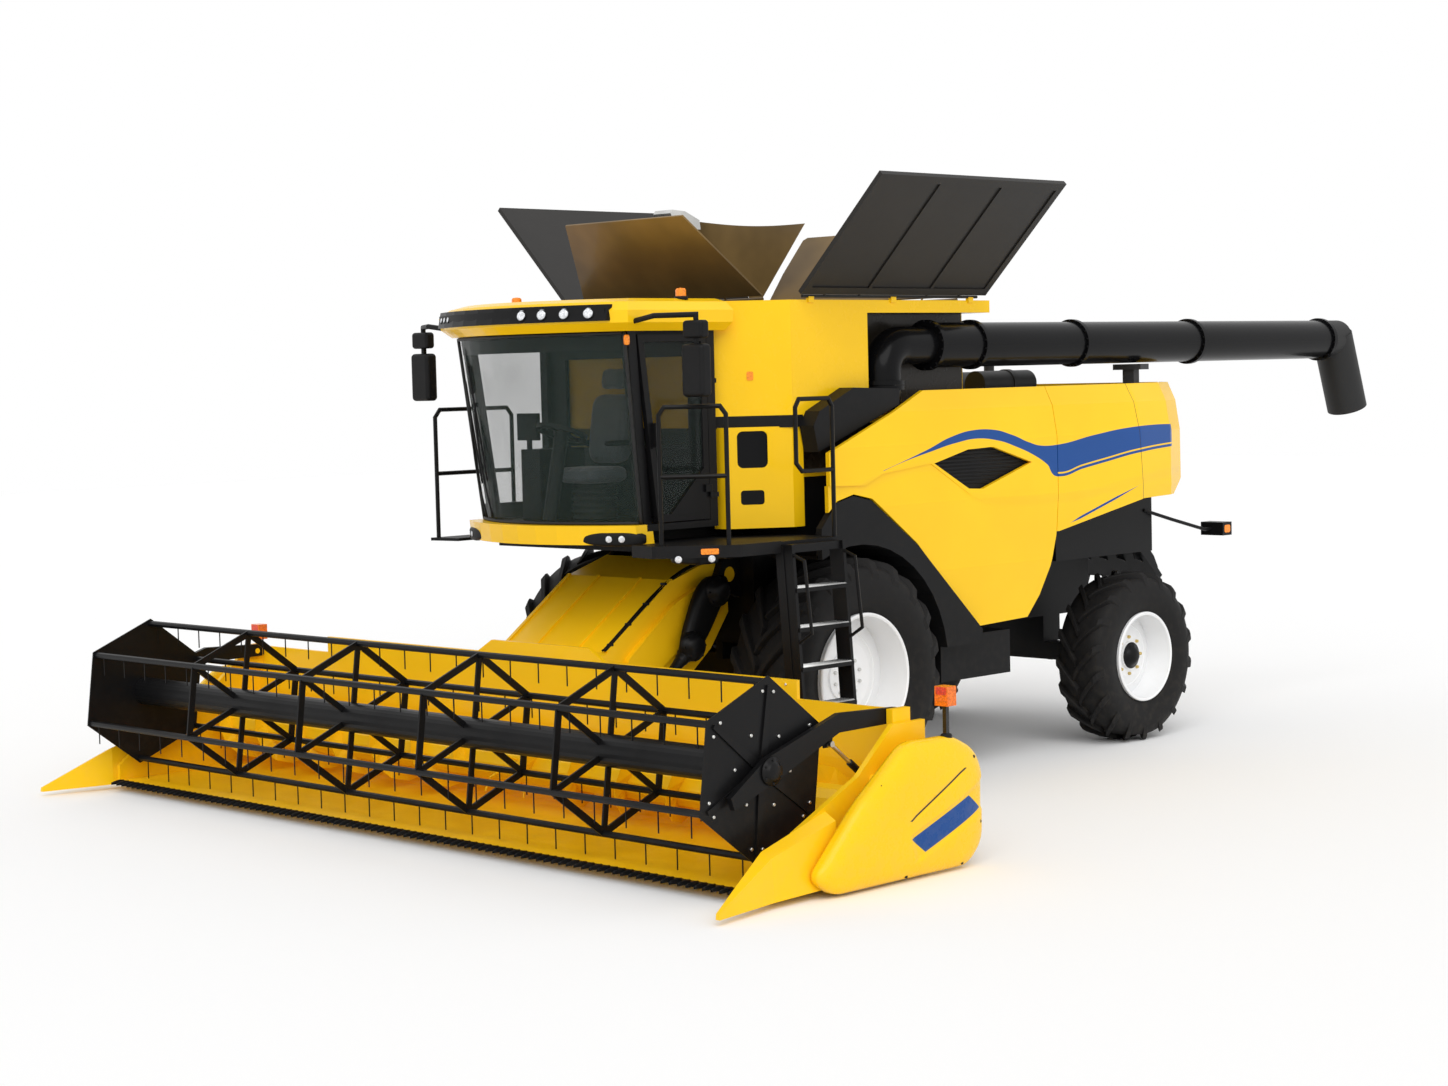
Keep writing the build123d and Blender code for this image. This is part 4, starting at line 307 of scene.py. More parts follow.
def make_paint_film():
    """Sprayed paint: slow drift of shade, fine orange peel, and field dust that thins out with height."""
    tree, ins, outs = shader_group(
        "paint_film", [("Vector", VECTOR), ("Colour", COLOUR), ("Drift", VALUE), ("Dust", VALUE)],
        [("Colour", COLOUR), ("Dull", VALUE), ("Height", VALUE)])
    slow = noise(tree, ins["Vector"], 1.1, 3.0)
    value = calc(tree, "MULTIPLY_ADD", ramp(tree, slow, 0.3, 0.7, -1.0, 1.0), ins["Drift"], 1.0)
    shaded = node(tree, "ShaderNodeVectorMath", {0: ins["Colour"], "Scale": value}, operation="SCALE")
    height = node(tree, "ShaderNodeSeparateXYZ", {0: ins["Vector"]}).outputs[2]
    specks = noise(tree, ins["Vector"], 9.0, 6.0, 0.7)
    patches = calc(tree, "MULTIPLY", ramp(tree, height, 0.0, 1.3, 1.0, 0.0), ramp(tree, specks, 0.42, 0.72))
    dust = calc(tree, "MULTIPLY", patches, ins["Dust"])
    dull = calc(tree, "MULTIPLY_ADD", specks, 0.06, calc(tree, "MULTIPLY", dust, 0.5))
    feed(tree, outs, {"Colour": blend_colour(tree, dust, shaded.outputs[0], (0.42, 0.34, 0.24, 1)),
                      "Dull": dull, "Height": noise(tree, ins["Vector"], 170.0, 1.0)})
    return tree


def make_moulded_grain():
    """Moulded surface: leathery cells over fine noise, with a slow drift of shade and dust low down."""
    tree, ins, outs = shader_group(
        "moulded_grain", [("Vector", VECTOR), ("Colour", COLOUR), ("Scale", VALUE), ("Dust", VALUE)],
        [("Colour", COLOUR), ("Dull", VALUE), ("Height", VALUE)])
    cells = node(tree, "ShaderNodeTexVoronoi", {"Vector": ins["Vector"], "Scale": ins["Scale"]},
                 feature="DISTANCE_TO_EDGE")
    slow = noise(tree, ins["Vector"], 2.3, 4.0)
    shade = ramp(tree, slow, 0.3, 0.75, 0.8, 1.25)
    shaded = node(tree, "ShaderNodeVectorMath", {0: ins["Colour"], "Scale": shade}, operation="SCALE")
    height = node(tree, "ShaderNodeSeparateXYZ", {0: ins["Vector"]}).outputs[2]
    specks = noise(tree, ins["Vector"], 14.0, 5.0)
    patches = calc(tree, "MULTIPLY", ramp(tree, height, 0.0, 1.6, 1.0, 0.15), ramp(tree, specks, 0.42, 0.7))
    dust = calc(tree, "MULTIPLY", patches, ins["Dust"])
    dull = calc(tree, "MULTIPLY_ADD", slow, 0.16, calc(tree, "MULTIPLY", dust, 0.4))
    feed(tree, outs, {"Colour": blend_colour(tree, dust, shaded.outputs[0], (0.30, 0.25, 0.18, 1)),
                      "Dull": dull, "Height": calc(tree, "MINIMUM", cells.outputs[0], 0.25)})
    return tree


def curve_of(tree, x, points, x_range, z_range):
    """Height of a drawn line at each x: a float curve through points, scaled to their ranges."""
    share = node(tree, "ShaderNodeMapRange", {"Value": x, "From Min": x_range[0],
                                              "From Max": x_range[1]}).outputs[0]
    made = node(tree, "ShaderNodeFloatCurve", {"Value": share})
    line = made.mapping.curves[0]
    spots = sorted(((px - x_range[0]) / (x_range[1] - x_range[0]),
                    (pz - z_range[0]) / (z_range[1] - z_range[0])) for px, pz in points)
    for a, b in spots[1:-1]:
        line.points.new(a, b)
    line.points[0].location, line.points[-1].location = spots[0], spots[-1]
    made.mapping.use_clip = False
    made.mapping.update()
    return node(tree, "ShaderNodeMapRange", {"Value": made.outputs[0], "To Min": z_range[0],
                                             "To Max": z_range[1]}).outputs[0]


STRIPE_TOP = [(-0.27, 2.53), (-0.79, 2.669), (-1.125, 2.768), (-1.40, 2.808), (-1.63, 2.804), (-1.86, 2.757),
              (-2.09, 2.684), (-2.26, 2.650), (-2.45, 2.650), (-2.98, 2.715), (-3.455, 2.760),
              (-3.88, 2.774), (-4.2, 2.770)]
STRIPE_LOW = [(-0.27, 2.526), (-0.52, 2.590), (-0.85, 2.657), (-1.15, 2.712), (-1.43, 2.738), (-1.66, 2.717),
              (-1.92, 2.653), (-2.15, 2.575), (-2.33, 2.487), (-2.46, 2.385), (-2.81, 2.436), (-3.13, 2.479),
              (-3.61, 2.540), (-4.2, 2.576)]
SIDE_FOLD = [(0.0, 2.40), (-0.26, 2.47), (-0.87, 2.53), (-1.4, 2.26), (-2.46, 2.2), (-3.6, 2.3),
             (-4.2, 2.36)]
PLATE_BAR = np.array([(2.21, 0.235), (1.61, 0.445)])
SLASH_BAR = np.array([(2.29, 0.404), (1.716, 0.685)])
SPAN_X, SPAN_Z = (-4.2, -0.27), (2.2, 2.9)


def make_side_stripe():
    """Blue side stripe between two drawn lines with a thin gap line near its lower edge, a low slash, the
    seam of the tail as a thin dark line of painted shade, and the panels' soft fold."""
    tree, ins, outs = shader_group("side_stripe", [("Vector", VECTOR)],
                                   [("Blue", VALUE), ("Crease", VALUE), ("Seam", VALUE)])
    parts = node(tree, "ShaderNodeSeparateXYZ", {0: ins["Vector"]})
    x = calc(tree, "SUBTRACT", parts.outputs[0], AXLE_X)
    z = parts.outputs[2]
    top = curve_of(tree, x, STRIPE_TOP, SPAN_X, SPAN_Z)
    low = curve_of(tree, x, STRIPE_LOW, SPAN_X, SPAN_Z)
    under_top = ramp(tree, calc(tree, "SUBTRACT", top, z), -0.002, 0.002)
    over_low = ramp(tree, calc(tree, "SUBTRACT", z, low), -0.002, 0.002)
    in_span = calc(tree, "MULTIPLY", ramp(tree, x, -4.195, -4.19), ramp(tree, x, -0.275, -0.27, 1.0, 0.0))
    band = calc(tree, "MULTIPLY", calc(tree, "MULTIPLY", under_top, over_low), in_span)
    off_line = calc(tree, "ABSOLUTE", calc(tree, "SUBTRACT", calc(tree, "SUBTRACT", z, low), 0.030))
    gap = calc(tree, "MULTIPLY", ramp(tree, off_line, 0.005, 0.008, 1.0, 0.0),
               ramp(tree, x, -2.47, -2.465, 1.0, 0.0))
    band = calc(tree, "MULTIPLY", band, calc(tree, "SUBTRACT", 1.0, gap))
    slash_z = calc(tree, "MULTIPLY_ADD", x, -0.284, 1.981 - 0.284 * 2.633)
    slash_in = calc(tree, "MULTIPLY", ramp(tree, x, -3.66, -3.2), ramp(tree, x, -2.8, -2.63, 1.0, 0.0))
    slash_off = calc(tree, "ABSOLUTE", calc(tree, "SUBTRACT", z, slash_z))
    slash = calc(tree, "LESS_THAN", slash_off, calc(tree, "MULTIPLY", slash_in, 0.011))
    # Seam of the tail: a thin line, darkened later as painted shade for the gap between the panels.
    seam_x = calc(tree, "MULTIPLY_ADD", z, 0.08, -3.845)
    seam_off = calc(tree, "ABSOLUTE", calc(tree, "SUBTRACT", x, seam_x))
    fold = curve_of(tree, x, SIDE_FOLD, (-4.2, 0.0), SPAN_Z)
    feed(tree, outs, {"Blue": calc(tree, "MAXIMUM", band, slash),
                      "Seam": ramp(tree, seam_off, 0.002, 0.004, 1.0, 0.0),
                      "Crease": ramp(tree, calc(tree, "SUBTRACT", z, fold), -0.05, 0.05)})
    return tree


def bar_mask(tree, x, z, start, end, half, skew):
    """Slanting bar between two points in x and z: one inside, nothing outside, with skewed ends."""
    run, rise = end[0] - start[0], end[1] - start[1]
    length = (run ** 2 + rise ** 2) ** 0.5
    dx, dz = calc(tree, "SUBTRACT", x, start[0]), calc(tree, "SUBTRACT", z, start[1])
    along = calc(tree, "MULTIPLY_ADD", dx, run / length, calc(tree, "MULTIPLY", dz, rise / length))
    off = calc(tree, "MULTIPLY_ADD", dx, rise / length, calc(tree, "MULTIPLY", dz, -run / length))
    along = calc(tree, "MULTIPLY_ADD", off, skew, along)
    inside = calc(tree, "MULTIPLY", ramp(tree, along, 0.0, 0.004),
                  ramp(tree, along, length - 0.004, length, 1.0, 0.0))
    near = ramp(tree, calc(tree, "ABSOLUTE", off), half - 0.003, half, 1.0, 0.0)
    return calc(tree, "MULTIPLY", inside, near)


def make_shield_marks():
    """Blank blue bar and thin dark slash on the header's end shields."""
    tree, ins, outs = shader_group("shield_marks", [("Vector", VECTOR)], [("Blue", VALUE), ("Dark", VALUE)])
    parts = node(tree, "ShaderNodeSeparateXYZ", {0: ins["Vector"]})
    x = calc(tree, "SUBTRACT", parts.outputs[0], AXLE_X)
    z = parts.outputs[2]
    feed(tree, outs, {"Blue": bar_mask(tree, x, z, *PLATE_BAR.tolist(), 0.072, 0.7),
                      "Dark": bar_mask(tree, x, z, *SLASH_BAR.tolist(), 0.008, 1.5)})
    return tree


PAINT_FILM, MOULDED_GRAIN, SIDE_STRIPE = make_paint_film(), make_moulded_grain(), make_side_stripe()
SHIELD_MARKS = make_shield_marks()
BLUE = (0.002, 0.062, 0.27, 1)


def begin(name):
    """A new material with its Principled shader and Object coordinates."""
    finish = bpy.data.materials.new(name)
    finish.use_nodes = True
    tree = finish.node_tree
    shader = tree.nodes["Principled BSDF"]
    return finish, tree, shader, node(tree, "ShaderNodeTexCoord").outputs["Object"]


def use_group(tree, group, values):
    """A node that stands for a group, with its inputs linked or filled."""
    return node(tree, "ShaderNodeGroup", values, node_tree=group)


def paint(name, colour, rough, drift=0.03, dust=0.08, coat=0.6, striped=False, marks=False, shine=0.5):
    """Sprayed paint; a striped one carries the blue side stripe, its crease and a thin line of painted shade
    along the tail's seam, and one with marks the shield's bars."""
    finish, tree, shader, place = begin(name)
    shade = (*colour, 1)
    if striped:
        stripe = use_group(tree, SIDE_STRIPE, {"Vector": place})
        shade = blend_colour(tree, stripe.outputs["Blue"], shade, BLUE)
        # Painted shade: the tail's seam is darkened as though shade fell into a gap between panels.
        shade = blend_colour(tree, stripe.outputs["Seam"], shade, (0.02, 0.012, 0.002, 1))
    if marks:
        mark = use_group(tree, SHIELD_MARKS, {"Vector": place})
        shade = blend_colour(tree, mark.outputs["Blue"], shade, BLUE)
        shade = blend_colour(tree, mark.outputs["Dark"], shade, (0.02, 0.02, 0.022, 1))
    film = use_group(tree, PAINT_FILM, {"Vector": place, "Colour": shade, "Drift": drift, "Dust": dust})
    normal = bumped(tree, film.outputs["Height"], 0.06, 0.0006)
    if striped:
        normal = bumped(tree, stripe.outputs["Crease"], 0.55, 0.02, normal)
    feed(tree, shader, {"Base Color": film.outputs["Colour"], "Normal": normal,
                        "Roughness": calc(tree, "ADD", film.outputs["Dull"], rough),
                        "Coat Weight": coat, "Coat Roughness": 0.06, "Specular IOR Level": shine})
    return finish


def moulding(name, colour, rough, scale=240.0, dust=0.2, depth=0.0006, strength=0.35, metallic=0.0,
             shine=0.5):
    """Moulded plastic, rubber or cast surface with grain."""
    finish, tree, shader, place = begin(name)
    grain = use_group(tree, MOULDED_GRAIN, {"Vector": place, "Colour": (*colour, 1), "Scale": scale,
                                            "Dust": dust})
    feed(tree, shader, {"Base Color": grain.outputs["Colour"],
                        "Roughness": calc(tree, "ADD", grain.outputs["Dull"], rough),
                        "Normal": bumped(tree, grain.outputs["Height"], strength, depth),
                        "Metallic": metallic, "Specular IOR Level": shine})
    return finish


def tinted_glass(name, colour, see_through):
    """Cab glass: mostly clear, a little coloured, with a sharp reflection."""
    finish, tree, shader, place = begin(name)
    solid = 1 - see_through
    smear = ramp(tree, noise(tree, place, 2.0, 4.0), 0.3, 0.8, solid, solid + 0.06)
    feed(tree, shader, {"Base Color": (*colour, 1), "Roughness": 0.02, "IOR": 1.45,
                        "Specular IOR Level": 0.25, "Alpha": smear})
    return finish


def lens(name, colour, glow, foot=None):
    """Lamp lens with moulded prisms and a faint glow of its own colour; below a foot height it is black.
    On a reflector, which is no lamp, that glow is painted glow.
    """
    finish, tree, shader, place = begin(name)
    cells = node(tree, "ShaderNodeTexVoronoi", {"Vector": place, "Scale": 70.0}).outputs[0]
    light = (*colour, 1)
    tone = blend_colour(tree, ramp(tree, cells, 0.0, 0.9), light, (*[c * 0.55 for c in colour], 1))
    if foot:
        height = node(tree, "ShaderNodeSeparateXYZ", {0: place}).outputs[2]
        above = ramp(tree, height, foot - 0.002, foot + 0.002)
        tone = blend_colour(tree, above, (0.008, 0.008, 0.009, 1), tone)
        light = blend_colour(tree, above, (0, 0, 0, 1), light)
    feed(tree, shader, {"Base Color": tone, "Normal": bumped(tree, cells, 0.4, 0.002), "Roughness": 0.12,
                        "Emission Color": light, "Emission Strength": glow})
    return finish


def woven(name, colour):
    """Seat cloth: two crossed waves for the weave, with a soft sheen."""
    finish, tree, shader, place = begin(name)
    one, two = (node(tree, "ShaderNodeTexWave", {"Vector": place, "Scale": 130.0},
                     bands_direction=way).outputs[1]
                for way in "YZ")
    weave = calc(tree, "MULTIPLY", one, two)
    cloth = blend_colour(tree, weave, (*[c * 0.7 for c in colour], 1), (*colour, 1))
    feed(tree, shader, {"Base Color": cloth, "Normal": bumped(tree, weave, 0.4, 0.001), "Roughness": 0.85,
                        "Sheen Weight": 0.3})
    return finish


def split_paint(name, outside, inside):
    """Tank sheet: machine paint outside; inside, a dull dark colour painted as the shade inside the tank.
    The two are told apart by a box inside the walls.
    """
    finish, tree, shader, place = begin(name)
    parts = node(tree, "ShaderNodeSeparateXYZ", {0: place})
    x = calc(tree, "SUBTRACT", parts.outputs[0], AXLE_X)
    side = calc(tree, "ABSOLUTE", parts.outputs[1])
    nose = calc(tree, "MULTIPLY_ADD", x, -0.926, 1.715)
    shaded_inside = calc(tree, "LESS_THAN", side, calc(tree, "MINIMUM", nose, 1.285))
    shaded_inside = calc(tree, "MULTIPLY", shaded_inside, calc(tree, "LESS_THAN", x, 0.935))
    shaded_inside = calc(tree, "MULTIPLY", shaded_inside, calc(tree, "GREATER_THAN", x, -1.90))
    shaded_inside = calc(tree, "MULTIPLY", shaded_inside, calc(tree, "GREATER_THAN", parts.outputs[2], 2.53))
    # Inside the box the colour turns to the dark inside colour: painted shade of the tank's interior.
    colour = blend_colour(tree, shaded_inside, (*outside, 1), (*inside, 1))
    film = use_group(tree, PAINT_FILM, {"Vector": place, "Colour": colour, "Drift": 0.03, "Dust": 0.1})
    feed(tree, shader, {"Base Color": film.outputs["Colour"],
                        "Roughness": calc(tree, "ADD", film.outputs["Dull"], 0.24),
                        "Coat Weight": 0.12, "Specular IOR Level": 0.2})
    return finish


YELLOW = (1.0, 0.60, 0.006)
yellow = paint("machine_yellow", YELLOW, 0.22, coat=0.12, shine=0.2)
yellow_striped = paint("machine_yellow_striped", YELLOW, 0.2, coat=0.12, shine=0.2, striped=True)
shield_yellow = paint("shield_yellow", YELLOW, 0.24, coat=0.12, shine=0.2, marks=True)
# The dark inside colour is painted shade for the tank's interior; the yellow is the machine paint.
tank_yellow_and_shade = split_paint("tank_yellow_and_painted_shade", YELLOW, (0.035, 0.028, 0.02))
header_yellow = paint("header_yellow", (1.0, 0.59, 0.006), 0.3, drift=0.04, dust=0.06, coat=0.1, shine=0.2)
black_satin = paint("frame_black", (0.006, 0.006, 0.0065), 0.34, drift=0.1, dust=0.02, coat=0.02, shine=0.14)
black_gloss = paint("tube_black", (0.004, 0.004, 0.0045), 0.22, drift=0.1, dust=0.0, coat=0.05, shine=0.10)
cover_black = paint("cover_black", (0.016, 0.0145, 0.013), 0.42, drift=0.1, dust=0.02, coat=0.03, shine=0.25)
flap_brown = paint("flap_rubber_brown", (0.17, 0.105, 0.034), 0.38, drift=0.35, dust=0.02, coat=0.1,
                   shine=0.3)
black_plastic = moulding("black_moulding", (0.007, 0.007, 0.0075), 0.42, dust=0.03, shine=0.15)
tyre_rubber = moulding("tyre_rubber", (0.0085, 0.008, 0.008), 0.58, scale=120.0, dust=0.04, strength=0.5,
                       shine=0.2)
soft_rubber = moulding("spout_rubber", (0.009, 0.009, 0.009), 0.5, scale=160.0, dust=0.0, shine=0.4)
rim_white = paint("rim_white", (0.90, 0.905, 0.91), 0.3, drift=0.02, dust=0.06, coat=0.3)
steel = moulding("polished_steel", (0.62, 0.62, 0.60), 0.25, scale=90.0, dust=0.05, metallic=1.0,
                 strength=0.1)
alloy = moulding("step_alloy", (0.66, 0.66, 0.65), 0.35, scale=60.0, dust=0.05, metallic=0.9,
                 strength=0.4, depth=0.002)
engine_grey = moulding("engine_castings", (0.03, 0.03, 0.032), 0.5, scale=50.0, dust=0.1)
cab_glazing = tinted_glass("cab_glazing", (0.035, 0.055, 0.047), 0.82)
door_glazing = tinted_glass("door_glazing", (0.022, 0.032, 0.028), 0.74)
amber = lens("amber_lens", (1.0, 0.28, 0.01), 0.25)
marker_post = lens("marker_lens", (1.0, 0.20, 0.01), 0.12, foot=1.10)
red_lens = lens("red_lens", (0.75, 0.06, 0.02), 0.2)
clear_lens = lens("clear_lens", (0.85, 0.87, 0.9), 0.15)
mirror_glass = moulding("mirror_glass", (0.7, 0.72, 0.74), 0.03, metallic=1.0, strength=0.0, dust=0.0)
seat_cloth = woven("seat_cloth", (0.085, 0.095, 0.11))
zinc = moulding("wheel_nut_zinc", (0.62, 0.46, 0.16), 0.3, metallic=0.8, strength=0.1)

NODES_IN = [
    (yellow_striped, ["tail_hood", "side_panel_left", "side_panel_right"]),
    (yellow, ["front_wall_panels", "cab_sill", "cab_roof"]),
    (tank_yellow_and_shade, ["grain_tank"]),
    (header_yellow, ["feeder_house", "header_frame", "dividers", "table_auger"]),
    (shield_yellow, ["end_shields"]),
    (black_gloss, ["unloader_tube", "unloader_base"]),
    (soft_rubber, ["unloader_spout"]),
    (cover_black, ["tank_cover_left", "tank_cover_right"]),
    (flap_brown, ["tank_flap_front", "tank_flap_rear"]),
    (steel, ["filling_auger", "lift_rods", "reel_lift_rods"]),
    (cab_glazing, ["cab_glass"]),
    (door_glazing, ["door_glass"]),
    (rim_white, ["front_rim_left", "front_rim_right", "rear_rim_left", "rear_rim_right"]),
    (tyre_rubber, ["front_tyre_left", "front_tyre_right", "rear_tyre_left", "rear_tyre_right"]),
    (amber, ["beacons"]),
    (marker_post, ["marker_lamps"]),
    (engine_grey, ["engine_block", "engine_deck"]),
    (black_plastic, ["dark_side_skins", "cab_controls", "mirrors", "side_boxes", "platform"]),
    (seat_cloth, ["cab_seat"]),
]
FINISH_OF = {name: finish for finish, names in NODES_IN for name in names}



def finish_nodes():
    """Puts a finish on every node of the frame; whatever isn't listed is satin black."""
    for name, shape in NODES.items():
        shape.data.materials.clear()
        shape.data.materials.append(FINISH_OF.get(name, black_satin))


finish_nodes()


# Wheels


FRONT_R, REAR_R = 0.936, 0.745
FRONT_Y, REAR_Y = 1.258, 1.267
REAR_AXLE_X = -3.748


def tyre_piece(name, radius, width, rim_r, lugs, centre, body, replaced):
    """Carcass: a profile of bead, bulged wall and crowned tread turned about the axle. Lugs: bars whose
    angle grows with a power of the distance from the middle, with a trapezoid section."""
    half = width / 2
    lug = 0.052 * radius / FRONT_R
    base = radius - lug
    bead = rim_r + 0.004
    wall = [(bead, half * 0.84), (bead + 0.03, half * 0.90), (bead + 0.42 * (base - bead), half * 0.995),
            (bead + 0.7 * (base - bead), half * 0.985), (base - 0.05, half * 0.93),
            (base - 0.016, half * 0.84), (base, half * 0.4)]
    profile = np.array(wall + [(r, -y) for r, y in reversed(wall)])
    inner = np.array([(bead - 0.002, -half * 0.84), (bead - 0.002, half * 0.84)])
    carcass = surface(name, lathe(np.concatenate([profile, inner]), centre, steps=96), wrap="uv")
    t = np.linspace(0, 1, 12)[:, None]
    section = np.array([(-0.62, -0.2), (-0.5, 0.9), (-0.40, 1.0), (0.40, 1.0), (0.5, 0.9),
                        (0.62, -0.2)])[None]
    across = -0.012 + t * (half * 0.985 + 0.012)
    lead = TAU / lugs * 1.55 * (t ** 0.85) * half / 0.33
    bar = 0.062 * radius / FRONT_R * (1 + 0.35 * t)
    turn = lead + section[..., 0] * bar / radius
    drop = np.where(t > 0.86, (t - 0.86) / 0.14, 0) ** 1.5 * 0.11 + 0.012 * t ** 2
    floor = base - 0.03 - drop * 0.9
    top = radius - drop
    reach = floor + (top - floor) * np.clip(section[..., 1] * 0.83 + 0.17, 0, 1)
    y = np.broadcast_to(across, reach.shape)
    angle = np.arange(lugs)[:, None, None] * TAU / lugs
    rows = []
    for side, phase in ((1, 0.0), (-1, 0.5)):
        a = angle + phase * TAU / lugs - turn[None]
        rows.append(np.stack([np.sin(a) * reach, side * np.broadcast_to(y, a.shape), np.cos(a) * reach], -1))
    bars = np.concatenate(rows) + np.asarray(centre, float)
    tread = surface(name + "_lugs", closed_ends(bars), smooth=False)
    return dress(joined(name, [carcass, tread]), body, tyre_rubber, replaced)


def ring_bead(radius, along, thick, steps=10):
    """Round bead of a rim as a profile: a small circle about a point of (radius, along)."""
    turn = np.linspace(0, TAU, steps, endpoint=False)
    return np.stack([radius + thick * np.cos(turn), along + thick * np.sin(turn)], -1)


def spots_round(centre, radius, count, along, axis="y", start=0.0):
    """Points evenly round a circle about an axis through a centre."""
    turn = start + np.linspace(0, TAU, count, endpoint=False)
    a, b, c = radius * np.sin(turn), radius * np.cos(turn), np.full(count, along)
    order = {"y": (a, c, b), "x": (c, a, b), "z": (a, b, c)}[axis]
    return np.stack(order, -1) + np.asarray(centre, float)


FRONT_CAP = [(0.0, 0.172), (0.03, 0.170), (0.06, 0.160), (0.078, 0.140), (0.083, 0.114), (0.094, 0.110),
             (0.094, 0.104)]
REAR_CAP = [(0.0, 0.132), (0.03, 0.130), (0.056, 0.120), (0.088, 0.092), (0.100, 0.076), (0.116, 0.073),
            (0.118, 0.060)]


def wheel_trim(word, side, end, centre, beads, cap, cap_finish, bolt_r, bolt_y, bolts, bolt_finish):
    """Rolled rim edge and weld bead, domed hub cap and a circle of wheel bolts for one wheel."""
    body = f"{end}_wheel_{word}"
    rolled = [surface("bead", lathe(ring_bead(r, y * side, t), centre, steps=80), wrap="uv")
              for r, y, t in beads]
    dress(joined(f"{end}_rim_edge_{word}", rolled), body, rim_white)
    profile = np.array(cap) * np.array([1.0, side])
    add(f"{end}_hub_cap_{word}", lathe(profile, centre, steps=40), body, cap_finish, wrap="u")
    heads = studs(spots_round(centre, bolt_r, bolts, bolt_y * side), (0, side, 0), 0.015, 0.020)
    add(f"{end}_wheel_bolts_{word}", heads, body, bolt_finish, smooth=False)


for side, word in SIDES:
    front = (0.0, side * FRONT_Y, FRONT_R)
    rear = (REAR_AXLE_X, side * REAR_Y, REAR_R)
    tyre_piece(f"front_tread_{word}", FRONT_R, 0.65, 0.505, 20, front, f"front_wheel_{word}",
               f"front_tyre_{word}")
    tyre_piece(f"rear_tread_{word}", REAR_R, 0.48, 0.39, 18, rear, f"rear_wheel_{word}", f"rear_tyre_{word}")
    wheel_trim(word, side, "front", front, [(0.497, 0.304, 0.013), (0.36, 0.067, 0.008)], FRONT_CAP,
               rim_white, 0.145, 0.110, 10, steel)
    wheel_trim(word, side, "rear", rear, [(0.382, 0.219, 0.012), (0.27, 0.011, 0.007)], REAR_CAP,
               black_satin, 0.162, 0.041, 8, zinc)


# Lamps and reflectors

LAMP_BEZEL = np.array([(1.20, -0.7), (1.20, 0.12), (1.12, 0.22), (1.0, 0.20), (0.98, -0.05)])
LAMP_LENS = np.array([(1.0, 0.0), (0.97, 0.12), (0.7, 0.26), (0.35, 0.33), (0.0, 0.35)])


def lamps(name, spots, finish, body="chassis"):
    """Round lamps: each has a black bezel and a domed lens turned about the way it faces."""
    bezels = np.stack([turned(LAMP_BEZEL * radius, place, way) for place, way, radius in spots])
    lenses = np.stack([turned(LAMP_LENS * radius, place, way) for place, way, radius in spots])
    add(name + "_bezels", bezels, body, black_plastic, wrap="u")
    add(name + "_lenses", lenses, body, finish, wrap="u")


def strip_x(y):
    """How far forward the roof's lamp strip stands at a distance from the middle."""
    return 2.052 + 0.27 * (1 - (y / 0.97) ** 2)


roof_spots = [((strip_x(y), y, 3.774), (1, 0.574 * y, 0.25), 0.040) for y in (0.30, 0.48, 0.66, 0.84)]
roof_spots += [((strip_x(y), y, 3.776), (1, 0.574 * y, 0.25), 0.024) for y in (-0.70, -0.79, -0.88)]
lamps("roof_lamps", roof_spots, clear_lens)
strip_y = np.linspace(-0.955, 0.955, 41)
strip_path = np.stack([strip_x(strip_y) + 0.003, strip_y], -1)
add("roof_lamp_strip", strip(strip_path, 3.738, 3.806, -0.008), "chassis", black_plastic, smooth=False)


def bumper_x(y):
    """How far forward the bumper's lip stands at a distance from the middle."""
    return 1.812 + 0.33 * (1 - (y / 0.96) ** 2)


def bumper_corner(side):
    """Black corner of the bumper: a rounded section carried round the lip's curve, growing from a point."""
    share = np.linspace(0, 1, 26)[:, None]
    turn = np.linspace(0, TAU, 28, endpoint=False)[None]
    y = 0.50 + 0.50 * share
    grow = np.sin(np.clip(share * 1.9, 0, 1) * np.pi / 2) * np.sqrt(np.clip(1 - share ** 14, 0, 1))
    x = bumper_x(y) - 0.035 + 0.052 * grow * bent(np.cos(turn), 4.0)
    z = 2.112 - 0.004 * share + 0.052 * grow * bent(np.sin(turn), 4.0)
    return np.stack([x, side * np.broadcast_to(y, x.shape), z], -1)


add("bumper_corners", mirrored(bumper_corner), "chassis", black_plastic)
lamps("bumper_lamps", [((bumper_x(y) + 0.014, side * y, 2.112), (1, side * 0.72 * y, 0), 0.026)
                       for side in (1, -1) for y in (0.79, 0.875)], clear_lens)
lamps("deck_lamps", [((x, y, 1.978), (0.69, 0.72, -0.1), 0.027) for x, y in ((1.835, 1.425), (1.66, 1.592))],
      clear_lens)
post_lamp = pebble((1.868, 0.972, 3.575), (0.022, 0.016, 0.038), 4.0, (10, 16))
add("post_lamp", post_lamp, "chassis", amber)
collar = np.array([(0.046, -0.02), (0.053, -0.018), (0.053, 0.010), (0.046, 0.014)])
collars = mirrored(lambda side: turned(collar, (1.28, side * 0.945, 3.882), UP))
add("beacon_collars", collars, "chassis", black_plastic, wrap="u")

tail_red = mirrored(lambda side: slab(rounded(0.18, 0.08, 0.02, (-5.131, side * 1.35, 1.79), ALONG, UP),
                                      (0.004, 0, 0)))
add("tail_lamp_lenses", tail_red, "chassis", red_lens, smooth=False)
tail_amber = mirrored(
    lambda side: slab(rounded(0.09, 0.07, 0.02, (-5.06, side * 1.4715, 1.79), (1, 0, 0), UP),
                      (0, -side * 0.004, 0)))
add("tail_side_lenses", tail_amber, "chassis", amber, smooth=False)
marker = mirrored(lambda side: slab(rounded(0.09, 0.05, 0.012, (1.8615, side * 3.905, 1.20), ALONG, UP),
                                    (-0.004, 0, 0)))
add("marker_red_lenses", marker, "header", red_lens, smooth=False)


# Cab


